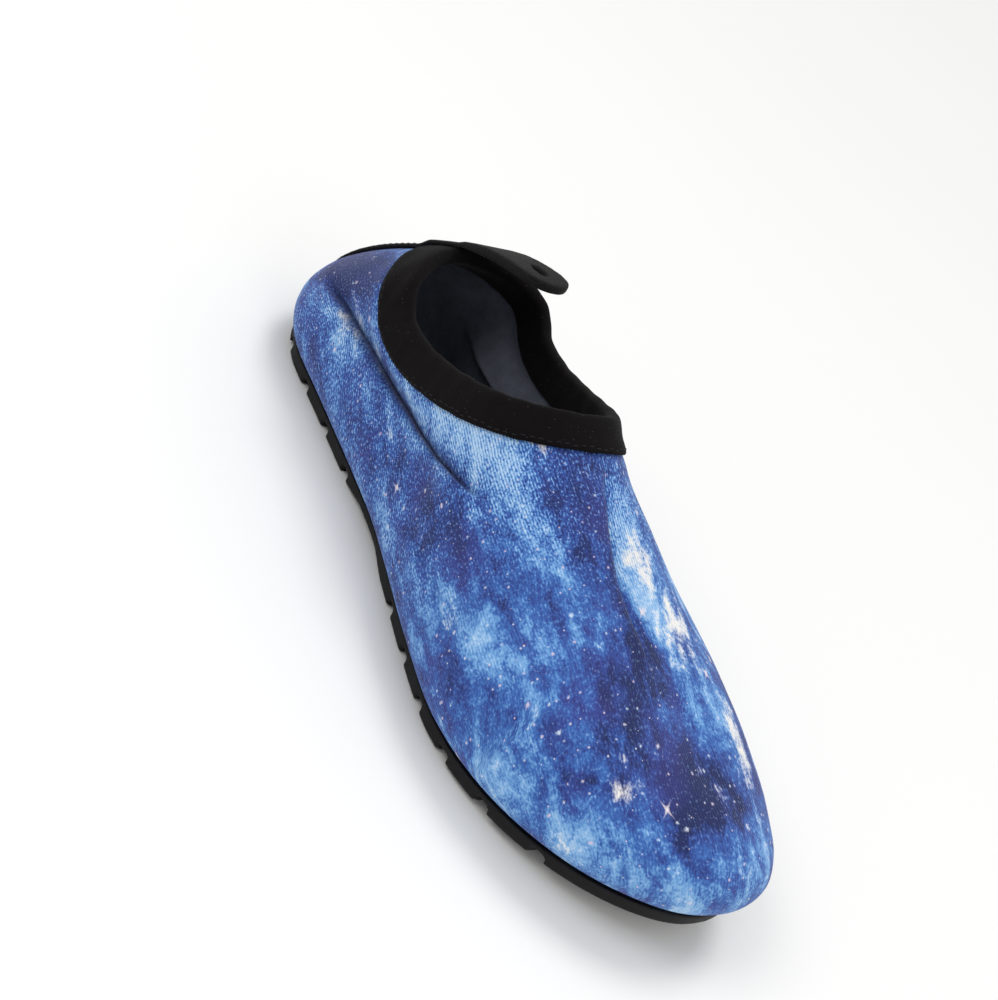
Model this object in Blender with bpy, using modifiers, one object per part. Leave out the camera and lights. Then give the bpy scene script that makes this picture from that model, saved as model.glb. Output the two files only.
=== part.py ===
"""A slip-on water shoe for the right foot, standing empty and unbent on its sole.

+X points to the toe, +Y to the inner (medial) side and +Z up. The stretch knit upper is one
hollow shell that rolls round the edge of the sole. A bound collar, a heel strip that ends in a
pull tab, a rubber outsole and a loose insole complete the shoe. Lengths are in metres.
"""
import math
from collections import namedtuple

import bmesh
import bpy
import numpy as np
from mathutils import Vector
from mathutils.bvhtree import BVHTree

# Driving sizes of the last
SHOE_LENGTH = 0.250
BALL_WIDTH = 0.093
HEEL_WIDTH = 0.061
INSTEP_HEIGHT = 0.071
TOE_HEIGHT = 0.038
TOE_SPRING = 0.010
HEEL_SPRING = 0.004
TOE_SWING = 0.009

# Driving sizes of the collar
HEEL_HEIGHT = 0.057
SIDE_HEIGHT = 0.048
HEEL_LEAN = 0.030
LEAN_REACH = 0.060
COLLAR_LEAN = 0.008

# Knit upper
KNIT_WALL = 0.0018
RIM_DEPTH = 0.007
RIM_RISE = 0.008
TURNED_MARGIN = 0.013
FOLD_DEPTH = 0.0035
FOLD_SPREAD = 0.006

# Collar binding
BAND_HEIGHT = 0.0105
BAND_LEAF = 0.0010
BAND_CAP = 0.0016

# Heel strip and pull tab
STRIP_WIDTH = 0.014
STRIP_THICKNESS = 0.0012
STRIP_RAMP = 0.004
STRIP_START = 0.0015
TAB_LENGTH = 0.039
TAB_WIDTH = 0.018
TAB_THICKNESS = 0.0030
TAB_CURL = math.radians(30)
TAB_GROWS_BY = 0.013
TAB_HOLE_LENGTH = 0.0075
TAB_HOLE_WIDTH = 0.0035
TAB_HOLE_FROM_END = 0.0095
TAB_END_ANGLES = (25, 45, 62, 76, 84)

# Outsole
OUTSOLE_THICKNESS = 0.0046
OUTSOLE_INSET = 0.0042
OUTSOLE_BEVEL = 0.0008
ARCH_RISE = 0.0018
ARCH_STEEPNESS = 2.5
GROOVE_DEPTH = 0.0028
GROOVE_WIDTH = 0.0045
GROOVE_BOW = 0.003
CENTRE_GROOVE_WIDTH = 0.0030

# Insole
INSOLE_THICKNESS = 0.0036
INSOLE_LIP = 0.0016
INSOLE_LIP_WIDTH = 0.006

# Clearance between pieces that touch, a little more on both faces of the wall's curved edge
GAP = 0.0003
BAND_GAP = 0.0005
WELD = 0.000005

# Places along the shoe, as shares of its length from the heel
HEEL_AT = 0.15
BALL_AT = 0.70
TOE_HEAD_AT = 0.88
THROAT_AT = 0.48
COLLAR_LOW_AT = 0.27
SPRING_FROM = 0.66
HEEL_SPRING_FROM = 0.14
ARCH_FROM = 0.335
ARCH_TO = 0.475

# Exponents: the toe and heel in plan as superellipses, the collar's rise towards the throat,
# the toe ribs' spread along the crest line and the lean of heel and collar against the height
TOE_ROUND_LATERAL = 1.95
TOE_ROUND_MEDIAL = 2.25
HEEL_ROUND = 2.10
COLLAR_SWEEP = 1.45
CREST_FAN = 1.5
LEAN_SWEEP = 1.5

LATERAL = -1
MEDIAL = 1

# The breadth goes from the heel's width (0) to the ball's (1). Half widths are shares of that
# breadth, tops are shares of the instep height, and the crest's offset is a share of the ball's
# width towards the medial side. Behind the throat the tops close above the collar.
Section = namedtuple("Section", "along breadth lateral medial top crest roundness")
SECTIONS = (
    Section(along=0.15, breadth=0.00, lateral=0.500, medial=0.500, top=1.48, crest=0.000, roundness=2.00),
    Section(along=0.28, breadth=0.00, lateral=0.515, medial=0.480, top=1.40, crest=0.005, roundness=2.00),
    Section(along=0.40, breadth=0.12, lateral=0.510, medial=0.430, top=1.20, crest=0.020, roundness=2.00),
    Section(along=0.48, breadth=0.30, lateral=0.515, medial=0.425, top=1.00, crest=0.030, roundness=2.05),
    Section(along=0.60, breadth=0.70, lateral=0.505, medial=0.480, top=0.84, crest=0.052, roundness=2.00),
    Section(along=0.70, breadth=1.00, lateral=0.485, medial=0.515, top=0.72, crest=0.075, roundness=2.00),
    Section(along=0.88, breadth=1.00, lateral=0.485, medial=0.515, top=None, crest=0.100, roundness=2.10),
)

# Slack folds of the side walls, from one end to the other. Places along are shares of the
# length, heights are shares of the side height and depths are shares of the fold depth.
Fold = namedtuple("Fold", "side start start_height end end_height depth")
FOLDS = (
    Fold(side=LATERAL, start=0.12, start_height=0.58, end=0.44, end_height=0.68, depth=1.00),
    Fold(side=LATERAL, start=0.46, start_height=0.76, end=0.56, end_height=0.98, depth=0.45),
    Fold(side=MEDIAL, start=0.16, start_height=0.58, end=0.44, end_height=0.60, depth=0.85),
    Fold(side=MEDIAL, start=0.50, start_height=0.85, end=0.60, end_height=0.50, depth=0.60),
)

# Cross grooves of the tread, as shares of the length
FOREFOOT_GROOVES = (0.865, 0.797, 0.729, 0.661, 0.593, 0.525)
HEEL_GROOVES = (0.310, 0.235, 0.160, 0.085)
CENTRE_GROOVES = ((0.535, 0.835), (0.055, 0.300))
CENTRE_GROOVE_SWING = 0.6

# How finely the surfaces are divided
TOE_STEPS = 9
VAMP_STEPS = 7
COLLAR_STEPS = 15
HEEL_STEPS = 6
STRIP_STEPS = 2
WALL_ROWS = 14
RIM_ROWS = 4
BAND_ROWS = 3
BAND_CAP_ANGLES = (45, 90, 135)
STRIP_ROWS = 9
TAB_ROWS = 6
HOLE_SIDES = 16
GROOVE_STATIONS = 9
FINE = 3
SUBSTEPS = 4
BISECTIONS = 40

SHARP_ANGLE = math.radians(40)

# Colours and roughness of the plain materials
Finish = namedtuple("Finish", "name colour roughness")
KNIT = Finish("printed stretch knit", (0.035, 0.085, 0.380, 1.0), 0.75)
TAPE = Finish("binding tape", (0.008, 0.008, 0.010, 1.0), 0.80)
WOVEN_TAPE = Finish("woven heel tape", (0.008, 0.008, 0.010, 1.0), 0.70)
RUBBER = Finish("moulded rubber", (0.012, 0.012, 0.013, 1.0), 0.60)
FOAM = Finish("foam insole", (0.030, 0.032, 0.038, 1.0), 0.90)


def smooth_column(shares, values, share):
    """Reads a table's column at any place, on a curve that never overshoots its rows."""
    shares = np.asarray(shares, float)
    values = np.asarray(values, float)
    step = np.diff(shares)
    slope = np.diff(values) / step
    tangent = np.zeros(len(values))
    for i in range(1, len(values) - 1):
        if slope[i - 1] * slope[i] > 0:
            tangent[i] = 2 * slope[i - 1] * slope[i] / (slope[i - 1] + slope[i])
    share = np.clip(share, shares[0], shares[-1])
    i = np.clip(np.searchsorted(shares, share) - 1, 0, len(step) - 1)
    t = (share - shares[i]) / step[i]
    start = (1 + 2 * t) * (1 - t) ** 2 * values[i] + t * (1 - t) ** 2 * step[i] * tangent[i]
    return start + t ** 2 * (3 - 2 * t) * values[i + 1] + t ** 2 * (t - 1) * step[i] * tangent[i + 1]


def section_value(name, x):
    """A column of the section table at distance x from the heel, as a real size."""
    shares = [s.along for s in SECTIONS]
    if name in ("lateral", "medial"):
        breadths = [HEEL_WIDTH + (BALL_WIDTH - HEEL_WIDTH) * s.breadth for s in SECTIONS]
        values = [getattr(s, name) * b for s, b in zip(SECTIONS, breadths)]
    elif name == "top":
        values = [TOE_HEIGHT if s.top is None else s.top * INSTEP_HEIGHT for s in SECTIONS]
    elif name == "crest":
        values = [s.crest * BALL_WIDTH for s in SECTIONS]
    else:
        values = [getattr(s, name) for s in SECTIONS]
    return smooth_column(shares, values, np.asarray(x, float) / SHOE_LENGTH)


def spring(x):
    """Height of the tread's line above the floor: flat in the middle, rising at both ends."""
    toe = np.clip((x / SHOE_LENGTH - SPRING_FROM) / (1 - SPRING_FROM), 0, None)
    heel = np.clip((HEEL_SPRING_FROM - x / SHOE_LENGTH) / HEEL_SPRING_FROM, 0, None)
    return TOE_SPRING * toe ** 2 + HEEL_SPRING * heel ** 2


def toe_slip():
    """How far the toe's slope carries the wall's inner face back from its outer one."""
    return KNIT_WALL * 2 * TOE_SPRING / ((1 - SPRING_FROM) * SHOE_LENGTH)


def margin_height(x):
    """Underside of the upper's turned margin."""
    return spring(x) + OUTSOLE_THICKNESS + GAP


def rim_height(x):
    """Height of the widest line of the rolled rim."""
    return margin_height(x) + RIM_RISE


def superellipse(angle, exponent):
    """A unit superellipse's point at an angle from its first axis."""
    c, s = abs(math.cos(angle)), abs(math.sin(angle))
    reach = (c ** exponent + s ** exponent) ** (-1 / exponent)
    return c * reach, s * reach


def rim_point(kind, place, side):
    """The rim's widest line in plan. place is an angle in the toe and heel, else x."""
    half = "lateral" if side == LATERAL else "medial"
    if kind == "toe":
        ball = BALL_AT * SHOE_LENGTH
        along, across = superellipse(place, TOE_ROUND_LATERAL if side == LATERAL else TOE_ROUND_MEDIAL)
        x = ball + (SHOE_LENGTH - ball) * along
        return x, side * section_value(half, ball) * across + TOE_SWING * along ** 2
    if kind == "heel":
        back = HEEL_AT * SHOE_LENGTH
        along, across = superellipse(place, HEEL_ROUND)
        return back * (1 - along), side * section_value(half, back) * across
    return place, side * section_value(half, place)


def crest_place(kind, place):
    """Where on the crest line a rib would close."""
    if kind == "toe":
        reach = (TOE_HEAD_AT - BALL_AT) * SHOE_LENGTH
        return BALL_AT * SHOE_LENGTH + reach * math.cos(place) ** CREST_FAN
    if kind == "heel":
        return HEEL_AT * SHOE_LENGTH
    return place


def collar_height(x):
    """Height of the collar's edge, from the throat down to the low side and up to the heel."""
    throat, low = THROAT_AT * SHOE_LENGTH, COLLAR_LOW_AT * SHOE_LENGTH
    if x >= low:
        t = (x - low) / (throat - low)
        return SIDE_HEIGHT + (float(section_value("top", throat)) - SIDE_HEIGHT) * t ** COLLAR_SWEEP
    t = (low - x) / low
    return SIDE_HEIGHT + (HEEL_HEIGHT - SIDE_HEIGHT) * t * t * (3 - 2 * t)


def slack(point, side):
    """Leans the heel forward and the collar inwards, and presses folds into a side wall."""
    x, y, z = point
    base = rim_height(x)
    rise = max(0.0, (z - base) / (HEEL_HEIGHT - base)) ** LEAN_SWEEP
    reach = min(1.0, max(0.0, (LEAN_REACH - x) / LEAN_REACH))
    lean = HEEL_LEAN * rise * reach * (2 - reach)
    behind = min(1.0, max(0.0, (THROAT_AT - x / SHOE_LENGTH) / (THROAT_AT - COLLAR_LOW_AT)))
    y += COLLAR_LEAN * rise * behind * behind * (3 - 2 * behind)
    for fold in FOLDS:
        if fold.side != side:
            continue
        start = np.array((fold.start * SHOE_LENGTH, fold.start_height * SIDE_HEIGHT))
        end = np.array((fold.end * SHOE_LENGTH, fold.end_height * SIDE_HEIGHT))
        run = end - start
        t = np.dot(np.array((x, z)) - start, run) / np.dot(run, run)
        nearest = start + run * min(1.0, max(0.0, t))
        away = np.hypot(x - nearest[0], z - nearest[1]) / FOLD_SPREAD
        y -= side * fold.depth * FOLD_DEPTH * math.exp(-away * away)
    return Vector((x + lean, y, z))


def wall_point(kind, place, turn, side):
    """A point of the wall. turn goes from 0 at the rim to a right angle on the crest line."""
    crest_x = crest_place(kind, place)
    edge_x, edge_y = rim_point(kind, place, side)
    roundness = float(section_value("roundness", crest_x))
    spread = max(0.0, math.cos(turn)) ** (2 / roundness)
    rise = math.sin(turn) ** (2 / roundness)
    base = rim_height(edge_x)
    crest_y = float(section_value("crest", crest_x))
    x = crest_x + (edge_x - crest_x) * spread
    y = crest_y + (edge_y - crest_y) * spread
    z = base + (float(section_value("top", crest_x)) - base) * rise
    return slack((x, y, z), side)


def collar_turn(kind, head, side):
    """How far a rib turns before it reaches the collar's edge."""
    goal = collar_height(rim_point(kind, head, side)[0])
    low, high = 0.0, math.pi / 2
    for _ in range(BISECTIONS):
        middle = (low + high) / 2
        if wall_point(kind, head, middle, side).z < goal:
            low = middle
        else:
            high = middle
    return high


Rib = namedtuple("Rib", "kind foot head side turn")


def half_ribs(side, fine=1):
    """The ribs of one side, from the toe's tip to the back of the heel."""
    throat, back = THROAT_AT * SHOE_LENGTH, HEEL_AT * SHOE_LENGTH
    ribs = []
    for angle in np.linspace(0, math.pi / 2, TOE_STEPS * fine + 1)[:-1]:
        ribs.append(Rib("toe", angle, angle, side, math.pi / 2))
    for x in np.linspace(BALL_AT * SHOE_LENGTH, throat, VAMP_STEPS * fine + 1)[:-1]:
        ribs.append(Rib("vamp", x, x, side, math.pi / 2))
    for share in np.linspace(0, 1, COLLAR_STEPS * fine + 1):
        foot = throat + (back - throat) * share
        head = throat + (back - throat) * (1 - math.cos(share * math.pi / 2))
        turn = collar_turn("collar", head, side) if share > 0 else math.pi / 2
        ribs.append(Rib("collar", foot, head, side, turn))
    strip = math.asin(STRIP_WIDTH / HEEL_WIDTH)
    angles = list(np.linspace(math.pi / 2, strip, HEEL_STEPS * fine + 1))[1:]
    angles += list(np.linspace(strip, 0, STRIP_STEPS * fine + 1))[1:]
    for angle in angles:
        ribs.append(Rib("heel", angle, angle, side, collar_turn("heel", angle, side)))
    return ribs


def ring_ribs(fine=1):
    """All ribs in order: toe, lateral side, heel, medial side."""
    lateral, medial = half_ribs(LATERAL, fine), half_ribs(MEDIAL, fine)
    return lateral + medial[-2:0:-1]


def even_points(points, count):
    """Spreads count + 1 points evenly along a run of points."""
    points = np.array([tuple(p) for p in points])
    travel = np.concatenate(([0.0], np.cumsum(np.linalg.norm(np.diff(points, axis=0), axis=1))))
    marks = np.linspace(0, travel[-1], count + 1)
    return [Vector([float(np.interp(m, travel, points[:, k])) for k in range(3)]) for m in marks]


def wall_curve(rib, rows):
    """A rib's run from its foot on the rim to its head on the collar or crest."""
    points = []
    for share in np.linspace(0, 1, SUBSTEPS * rows + 1):
        place = rib.foot + (rib.head - rib.foot) * share * share * (3 - 2 * share)
        points.append(wall_point(rib.kind, place, rib.turn * share, rib.side))
    return even_points(points, rows)


def plan_outline(ribs):
    """Rim points with their outward directions in plan."""
    points = [Vector(rim_point(r.kind, r.foot, r.side)).to_2d() for r in ribs]
    count = len(points)
    directions = []
    for i in range(count):
        run = points[(i + 1) % count] - points[i - 1]
        directions.append(Vector((-run.y, run.x)).normalized())
    return points, directions


def rolled_rim(point, outward, turn, offset=0.0):
    """A point of the rolled rim, turn 0 underneath and a right angle at the widest line."""
    centre = point - outward * RIM_DEPTH
    reach = (RIM_DEPTH + offset) * math.sin(turn)
    drop = (RIM_RISE + offset) * math.cos(turn)
    place = centre + outward * reach
    return Vector((place.x, place.y, float(rim_height(place.x)) - drop))


def inset_point(point, outward, inset, height):
    """A point inside the rim's outline, at a height above the tread's line there."""
    place = point - outward * inset
    return Vector((place.x, place.y, float(spring(place.x)) + height))


def loft(rings, closed=True):
    """Joins rings of points, row by row. Rings in the ribs' order, going up, face outwards."""
    mesh = bmesh.new()
    rows = [[mesh.verts.new(p) for p in ring] for ring in rings]
    count = len(rows[0])
    last = count if closed else count - 1
    for lower, upper in zip(rows[:-1], rows[1:]):
        for i in range(last):
            k = (i + 1) % count
            mesh.faces.new((upper[i], upper[k], lower[k], lower[i]))
    return mesh, rows


def close_with_ladder(mesh, ring):
    """Closes a ring that is ordered like the ribs with strips from side to side."""
    count = len(ring)
    for i in range(count // 2):
        corners = [ring[i], ring[i + 1], ring[count - i - 1], ring[(count - i) % count]]
        unique = []
        for corner in corners:
            if corner not in unique:
                unique.append(corner)
        mesh.faces.new(unique)


def finish_solid(name, mesh, finish, closed=True):
    """Turns a bmesh into a smooth-shaded object with its own material."""
    bmesh.ops.remove_doubles(mesh, verts=mesh.verts, dist=WELD)
    if closed:
        bmesh.ops.recalc_face_normals(mesh, faces=mesh.faces)
    data = bpy.data.meshes.new(name)
    mesh.to_mesh(data)
    mesh.free()
    material = bpy.data.materials.new(finish.name)
    material.use_nodes = True
    shader = material.node_tree.nodes["Principled BSDF"]
    shader.inputs["Base Color"].default_value = finish.colour
    shader.inputs["Roughness"].default_value = finish.roughness
    shader.inputs["Metallic"].default_value = 0.0
    data.materials.append(material)
    data.shade_smooth()
    data.set_sharp_from_angle(angle=SHARP_ANGLE)
    obj = bpy.data.objects.new(name, data)
    PARTS.objects.link(obj)
    obj.parent = SHOE
    return obj


def upper_rings(fine=1):
    """Rows of the upper's outer face, from the turned margin to the collar and crest."""
    ribs = ring_ribs(fine)
    points, directions = plan_outline(ribs)
    rings = []
    flat = OUTSOLE_THICKNESS + GAP
    rings.append([inset_point(p, d, TURNED_MARGIN, flat) for p, d in zip(points, directions)])
    for turn in np.linspace(0, math.pi / 2, RIM_ROWS * fine + 1)[:-1]:
        rings.append([rolled_rim(p, d, turn) for p, d in zip(points, directions)])
    walls = [wall_curve(rib, WALL_ROWS * fine) for rib in ribs]
    for row in range(WALL_ROWS * fine + 1):
        rings.append([wall[row] for wall in walls])
    return ribs, rings


def make_upper():
    """The knit upper: an open surface of ribs, thickened inwards. Returns its collar's edge."""
    ribs, rings = upper_rings()
    mesh = loft(rings)[0]
    upper = finish_solid("upper", mesh, KNIT, closed=False)
    wall = upper.modifiers.new("knit wall", "SOLIDIFY")
    wall.thickness = KNIT_WALL
    wall.offset = -1.0
    wall.use_even_offset = True
    wall.use_rim = True
    throat_again = len(ribs) - TOE_STEPS - VAMP_STEPS
    edge = []
    for i, rib in enumerate(ribs):
        if rib.kind in ("collar", "heel") and i != throat_again:
            edge.append(rings[-1][i])
    return edge


def heel_curves():
    """The finely divided wall curves that lie under the heel strip, from side to side."""
    ribs = ring_ribs()
    middle = TOE_STEPS + VAMP_STEPS + COLLAR_STEPS + HEEL_STEPS + STRIP_STEPS
    chosen = ribs[middle - STRIP_STEPS:middle + STRIP_STEPS + 1]
    return [wall_curve(rib, WALL_ROWS * SUBSTEPS) for rib in chosen]


def skin_finder():
    """A finely divided copy of the upper's outer face, to find places and directions on it."""
    rings = upper_rings(FINE)[1]
    mesh = loft(rings)[0]
    bmesh.ops.remove_doubles(mesh, verts=mesh.verts, dist=WELD)
    tree = BVHTree.FromBMesh(mesh)
    mesh.free()
    return tree


def on_skin(tree, point):
    """The nearest place on the upper's outer face and its outward direction."""
    place, normal, _, _ = tree.find_nearest(point)
    return place, normal


def make_binding(edge, tree):
    """The collar's binding: a U-shaped band over the edge, swept once round the opening."""
    count = len(edge)
    sections = []
    for k in range(count):
        here = edge[k]
        run = (edge[(k + 1) % count] - edge[k - 1]).normalized()
        _, outward = on_skin(tree, here)
        down = outward.cross(run).normalized()
        drops = np.linspace(BAND_HEIGHT, 0, BAND_ROWS + 1)
        places = [on_skin(tree, here + down * drop) for drop in drops]
        outer = [p + n * (BAND_GAP + BAND_LEAF) for p, n in places]
        outer_inside = [p + n * BAND_GAP for p, n in places]
        inner = [p - n * (KNIT_WALL + BAND_GAP + BAND_LEAF) for p, n in places]
        inner_inside = [p - n * (KNIT_WALL + BAND_GAP) for p, n in places]
        place, normal = places[-1]
        centre = place - normal * (KNIT_WALL / 2)
        half = KNIT_WALL / 2 + BAND_GAP + BAND_LEAF
        cap = []
        for turn in BAND_CAP_ANGLES:
            angle = math.radians(turn)
            cap.append(centre + normal * half * math.cos(angle) - down * BAND_CAP * math.sin(angle))
        inside_cap = [inner_inside[-1] - down * BAND_GAP, outer_inside[-1] - down * BAND_GAP]
        section = outer + cap + inner[::-1] + inner_inside[:-1] + inside_cap + outer_inside[:-1][::-1]
        sections.append(section)
    rings = [[sections[k][j] for k in range(count)] for j in range(len(sections[0]))]
    mesh = loft(rings + [rings[0]])[0]
    return finish_solid("collar_binding", mesh, TAPE)


def strip_rows(curves, tree):
    """Rows of the strip's outer and inner face, up the heel and over the binding."""
    middle = curves[len(curves) // 2]
    length = sum((b - a).length for a, b in zip(middle[:-1], middle[1:]))
    ramp_end = length - BAND_HEIGHT - GAP
    stops = list(np.linspace(STRIP_START, ramp_end - STRIP_RAMP, STRIP_ROWS + 1))
    stops += [ramp_end - STRIP_RAMP / 2, ramp_end, length - BAND_HEIGHT / 2, length]
    over_band = BAND_LEAF + BAND_GAP
    outer_rows, inner_rows = [], []
    for stop in stops:
        lift = GAP + over_band * min(1.0, max(0.0, (stop - ramp_end + STRIP_RAMP) / STRIP_RAMP))
        outer, inner = [], []
        for curve in curves:
            share = stop / length * (len(curve) - 1)
            k = min(int(share), len(curve) - 2)
            place, normal = on_skin(tree, curve[k].lerp(curve[k + 1], share - k))
            inner.append(place + normal * lift)
            outer.append(place + normal * (lift + STRIP_THICKNESS))
        outer_rows.append(outer)
        inner_rows.append(inner)
    return outer_rows, inner_rows


def tab_section(mark, start, rise):
    """Middle and outward direction of the tab at a distance past the collar, as it curls."""
    back = Vector((-rise.z, 0.0, rise.x))
    angle = TAB_CURL * mark / TAB_LENGTH
    radius = TAB_LENGTH / TAB_CURL
    place = start + rise * radius * math.sin(angle) - back * radius * (1 - math.cos(angle))
    return place, back * math.cos(angle) + rise * math.sin(angle)


def tab_half_sizes(mark):
    """Half width and half thickness of the tab, which grows out of the strip to a round end."""
    end_radius = TAB_WIDTH / 2
    body = TAB_LENGTH - end_radius
    grow = min(1.0, mark / TAB_GROWS_BY)
    half_width = (STRIP_WIDTH + (TAB_WIDTH - STRIP_WIDTH) * grow) / 2
    if mark > body:
        half_width *= math.sqrt(max(0.0, 1 - ((mark - body) / end_radius) ** 2))
    return half_width, (STRIP_THICKNESS + (TAB_THICKNESS - STRIP_THICKNESS) * grow) / 2


def make_pull_tab(curves, tree):
    """The strip down the heel's seam, which runs on past the collar as the pull tab."""
    columns = len(curves)
    outer_rows, inner_rows = strip_rows(curves, tree)
    middle = curves[columns // 2]
    rise = (middle[-1] - middle[-3]).normalized()
    start = (inner_rows[-1][columns // 2] + outer_rows[-1][columns // 2]) / 2
    end_radius = TAB_WIDTH / 2
    body = TAB_LENGTH - end_radius
    marks = list(np.linspace(0, body, TAB_ROWS + 1)[1:])
    marks += [body + end_radius * math.sin(math.radians(a)) for a in TAB_END_ANGLES]
    for mark in marks:
        place, lift = tab_section(mark, start, rise)
        half_width, half_thick = tab_half_sizes(mark)
        across = [Vector((0.0, half_width * share, 0.0)) for share in np.linspace(-1, 1, columns)]
        outer_rows.append([place + a + lift * half_thick for a in across])
        inner_rows.append([place + a - lift * half_thick for a in across])
    rings = [outer + inner[::-1] for outer, inner in zip(outer_rows, inner_rows)]
    mesh, rows = loft(rings)
    for row in (rows[0], rows[-1]):
        for j in range(columns - 1):
            mesh.faces.new((row[j], row[j + 1], row[2 * columns - 2 - j], row[2 * columns - 1 - j]))
    tab = finish_solid("heel_pull_tab", mesh, WOVEN_TAPE)
    punch_hole(tab, *tab_section(TAB_LENGTH - TAB_HOLE_FROM_END, start, rise))
    return tab


def punch_hole(tab, place, lift):
    """Cuts the tab's long hole through its thickness."""
    mesh = bmesh.new()
    radius = TAB_HOLE_WIDTH / 2
    stretch = TAB_HOLE_LENGTH / TAB_HOLE_WIDTH
    bmesh.ops.create_cone(mesh, cap_ends=True, segments=HOLE_SIDES, radius1=radius, radius2=radius,
                          depth=TAB_THICKNESS * 3)
    bmesh.ops.scale(mesh, verts=mesh.verts, vec=(stretch, 1.0, 1.0))
    data = bpy.data.meshes.new("tab hole")
    mesh.to_mesh(data)
    mesh.free()
    cutter = bpy.data.objects.new("tab_hole_cutter", data)
    CUTTERS.objects.link(cutter)
    cutter.parent = SHOE
    cutter.location = place
    cutter.rotation_euler = (0.0, math.atan2(lift.x, lift.z), 0.0)
    hide_cutter(cutter)
    add_cut(tab, cutter)


def hide_cutter(cutter):
    """Keeps a cutter out of the render."""
    cutter.hide_render = True
    cutter.display_type = "WIRE"


def add_cut(obj, cutter):
    """Takes a cutter's shape out of an object."""
    cut = obj.modifiers.new(cutter.name, "BOOLEAN")
    cut.operation = "DIFFERENCE"
    cut.object = cutter


def tread_height(x):
    """Underside of the outsole, lifted a little under the arch."""
    share = x / SHOE_LENGTH
    middle = (ARCH_FROM + ARCH_TO) / 2
    inside = 1 - abs(share - middle) / ((ARCH_TO - ARCH_FROM) / 2)
    return ARCH_RISE * min(1.0, max(0.0, inside * ARCH_STEEPNESS))


def make_outsole():
    """The rubber outsole, with a raised middle that closes the upper's underside."""
    points, directions = plan_outline(ring_ribs())
    plan = list(zip(points, directions))
    plateau = TURNED_MARGIN + GAP + toe_slip()
    top = OUTSOLE_THICKNESS

    def ring(inset, height, tread=False):
        placed = [inset_point(p, d, inset, height) for p, d in plan]
        if tread:
            placed = [q + Vector((0, 0, tread_height(q.x))) for q in placed]
        return placed

    rings = [
        ring(OUTSOLE_INSET + OUTSOLE_BEVEL, 0.0, tread=True),
        ring(OUTSOLE_INSET, OUTSOLE_BEVEL, tread=True),
        ring(OUTSOLE_INSET, top),
        ring(plateau, top),
        ring(plateau, top + GAP + KNIT_WALL),
    ]
    mesh, rows = loft(rings)
    close_with_ladder(mesh, rows[0])
    close_with_ladder(mesh, rows[-1])
    outsole = finish_solid("outsole", mesh, RUBBER)
    for number, share in enumerate(FOREFOOT_GROOVES + HEEL_GROOVES):
        add_cut(outsole, cross_groove(number, share))
    for number, (start, end) in enumerate(CENTRE_GROOVES):
        add_cut(outsole, centre_groove(number, start, end))
    return outsole


def groove_bar(name, stations, width_axis, half_width):
    """A bar that follows stations under the tread, with a flat top at the groove's depth."""
    rings = []
    for place in stations:
        base = float(spring(place.x)) + GROOVE_DEPTH
        corners = []
        for side, height in ((-1, -2 * GROOVE_DEPTH), (1, -2 * GROOVE_DEPTH), (1, 0), (-1, 0)):
            corners.append(Vector((place.x, place.y, base + height)) + width_axis * side * half_width)
        rings.append(corners)
    mesh, rows = loft(rings)
    mesh.faces.new(rows[0])
    mesh.faces.new(rows[-1])
    bmesh.ops.recalc_face_normals(mesh, faces=mesh.faces)
    data = bpy.data.meshes.new(name)
    mesh.to_mesh(data)
    mesh.free()
    cutter = bpy.data.objects.new(name, data)
    CUTTERS.objects.link(cutter)
    cutter.parent = SHOE
    hide_cutter(cutter)
    return cutter


def cross_groove(number, share):
    """A groove from edge to edge, bowed towards the toe."""
    stations = []
    for across in np.linspace(-1, 1, GROOVE_STATIONS):
        y = across * BALL_WIDTH
        x = share * SHOE_LENGTH + GROOVE_BOW * (1 - 4 * across * across)
        stations.append(Vector((x, y, 0.0)))
    return groove_bar(f"cross_groove_{number}", stations, Vector((1, 0, 0)), GROOVE_WIDTH / 2)


def centre_groove(number, start, end):
    """A groove along the middle of the tread."""
    stations = []
    for x in np.linspace(start * SHOE_LENGTH, end * SHOE_LENGTH, GROOVE_STATIONS):
        y = float(section_value("crest", x)) * CENTRE_GROOVE_SWING
        stations.append(Vector((x, y, 0.0)))
    return groove_bar(f"centre_groove_{number}", stations, Vector((0, 1, 0)), CENTRE_GROOVE_WIDTH / 2)


def make_insole():
    """The loose insole, fitted to the inside of the rolled rim, with a low cupped lip."""
    points, directions = plan_outline(ring_ribs())
    plan = [(p - d * toe_slip(), d) for p, d in zip(points, directions)]
    offset = -(KNIT_WALL + GAP)
    rings = []
    for turn in np.linspace(0, math.pi / 2, RIM_ROWS + 1)[:-1]:
        rings.append([rolled_rim(p, d, turn, offset) for p, d in plan])
    bottom = OUTSOLE_THICKNESS + GAP + KNIT_WALL + GAP
    side = -offset + (RIM_DEPTH + offset) * (1 - math.sin(math.pi / 2 * (1 - 1 / RIM_ROWS)))
    lip = bottom + INSOLE_THICKNESS + INSOLE_LIP
    rings.append([inset_point(p, d, side, lip) for p, d in plan])
    rings.append([inset_point(p, d, side + INSOLE_LIP_WIDTH, bottom + INSOLE_THICKNESS) for p, d in plan])
    mesh, rows = loft(rings)
    close_with_ladder(mesh, rows[0])
    close_with_ladder(mesh, rows[-1])
    return finish_solid("insole", mesh, FOAM)


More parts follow.
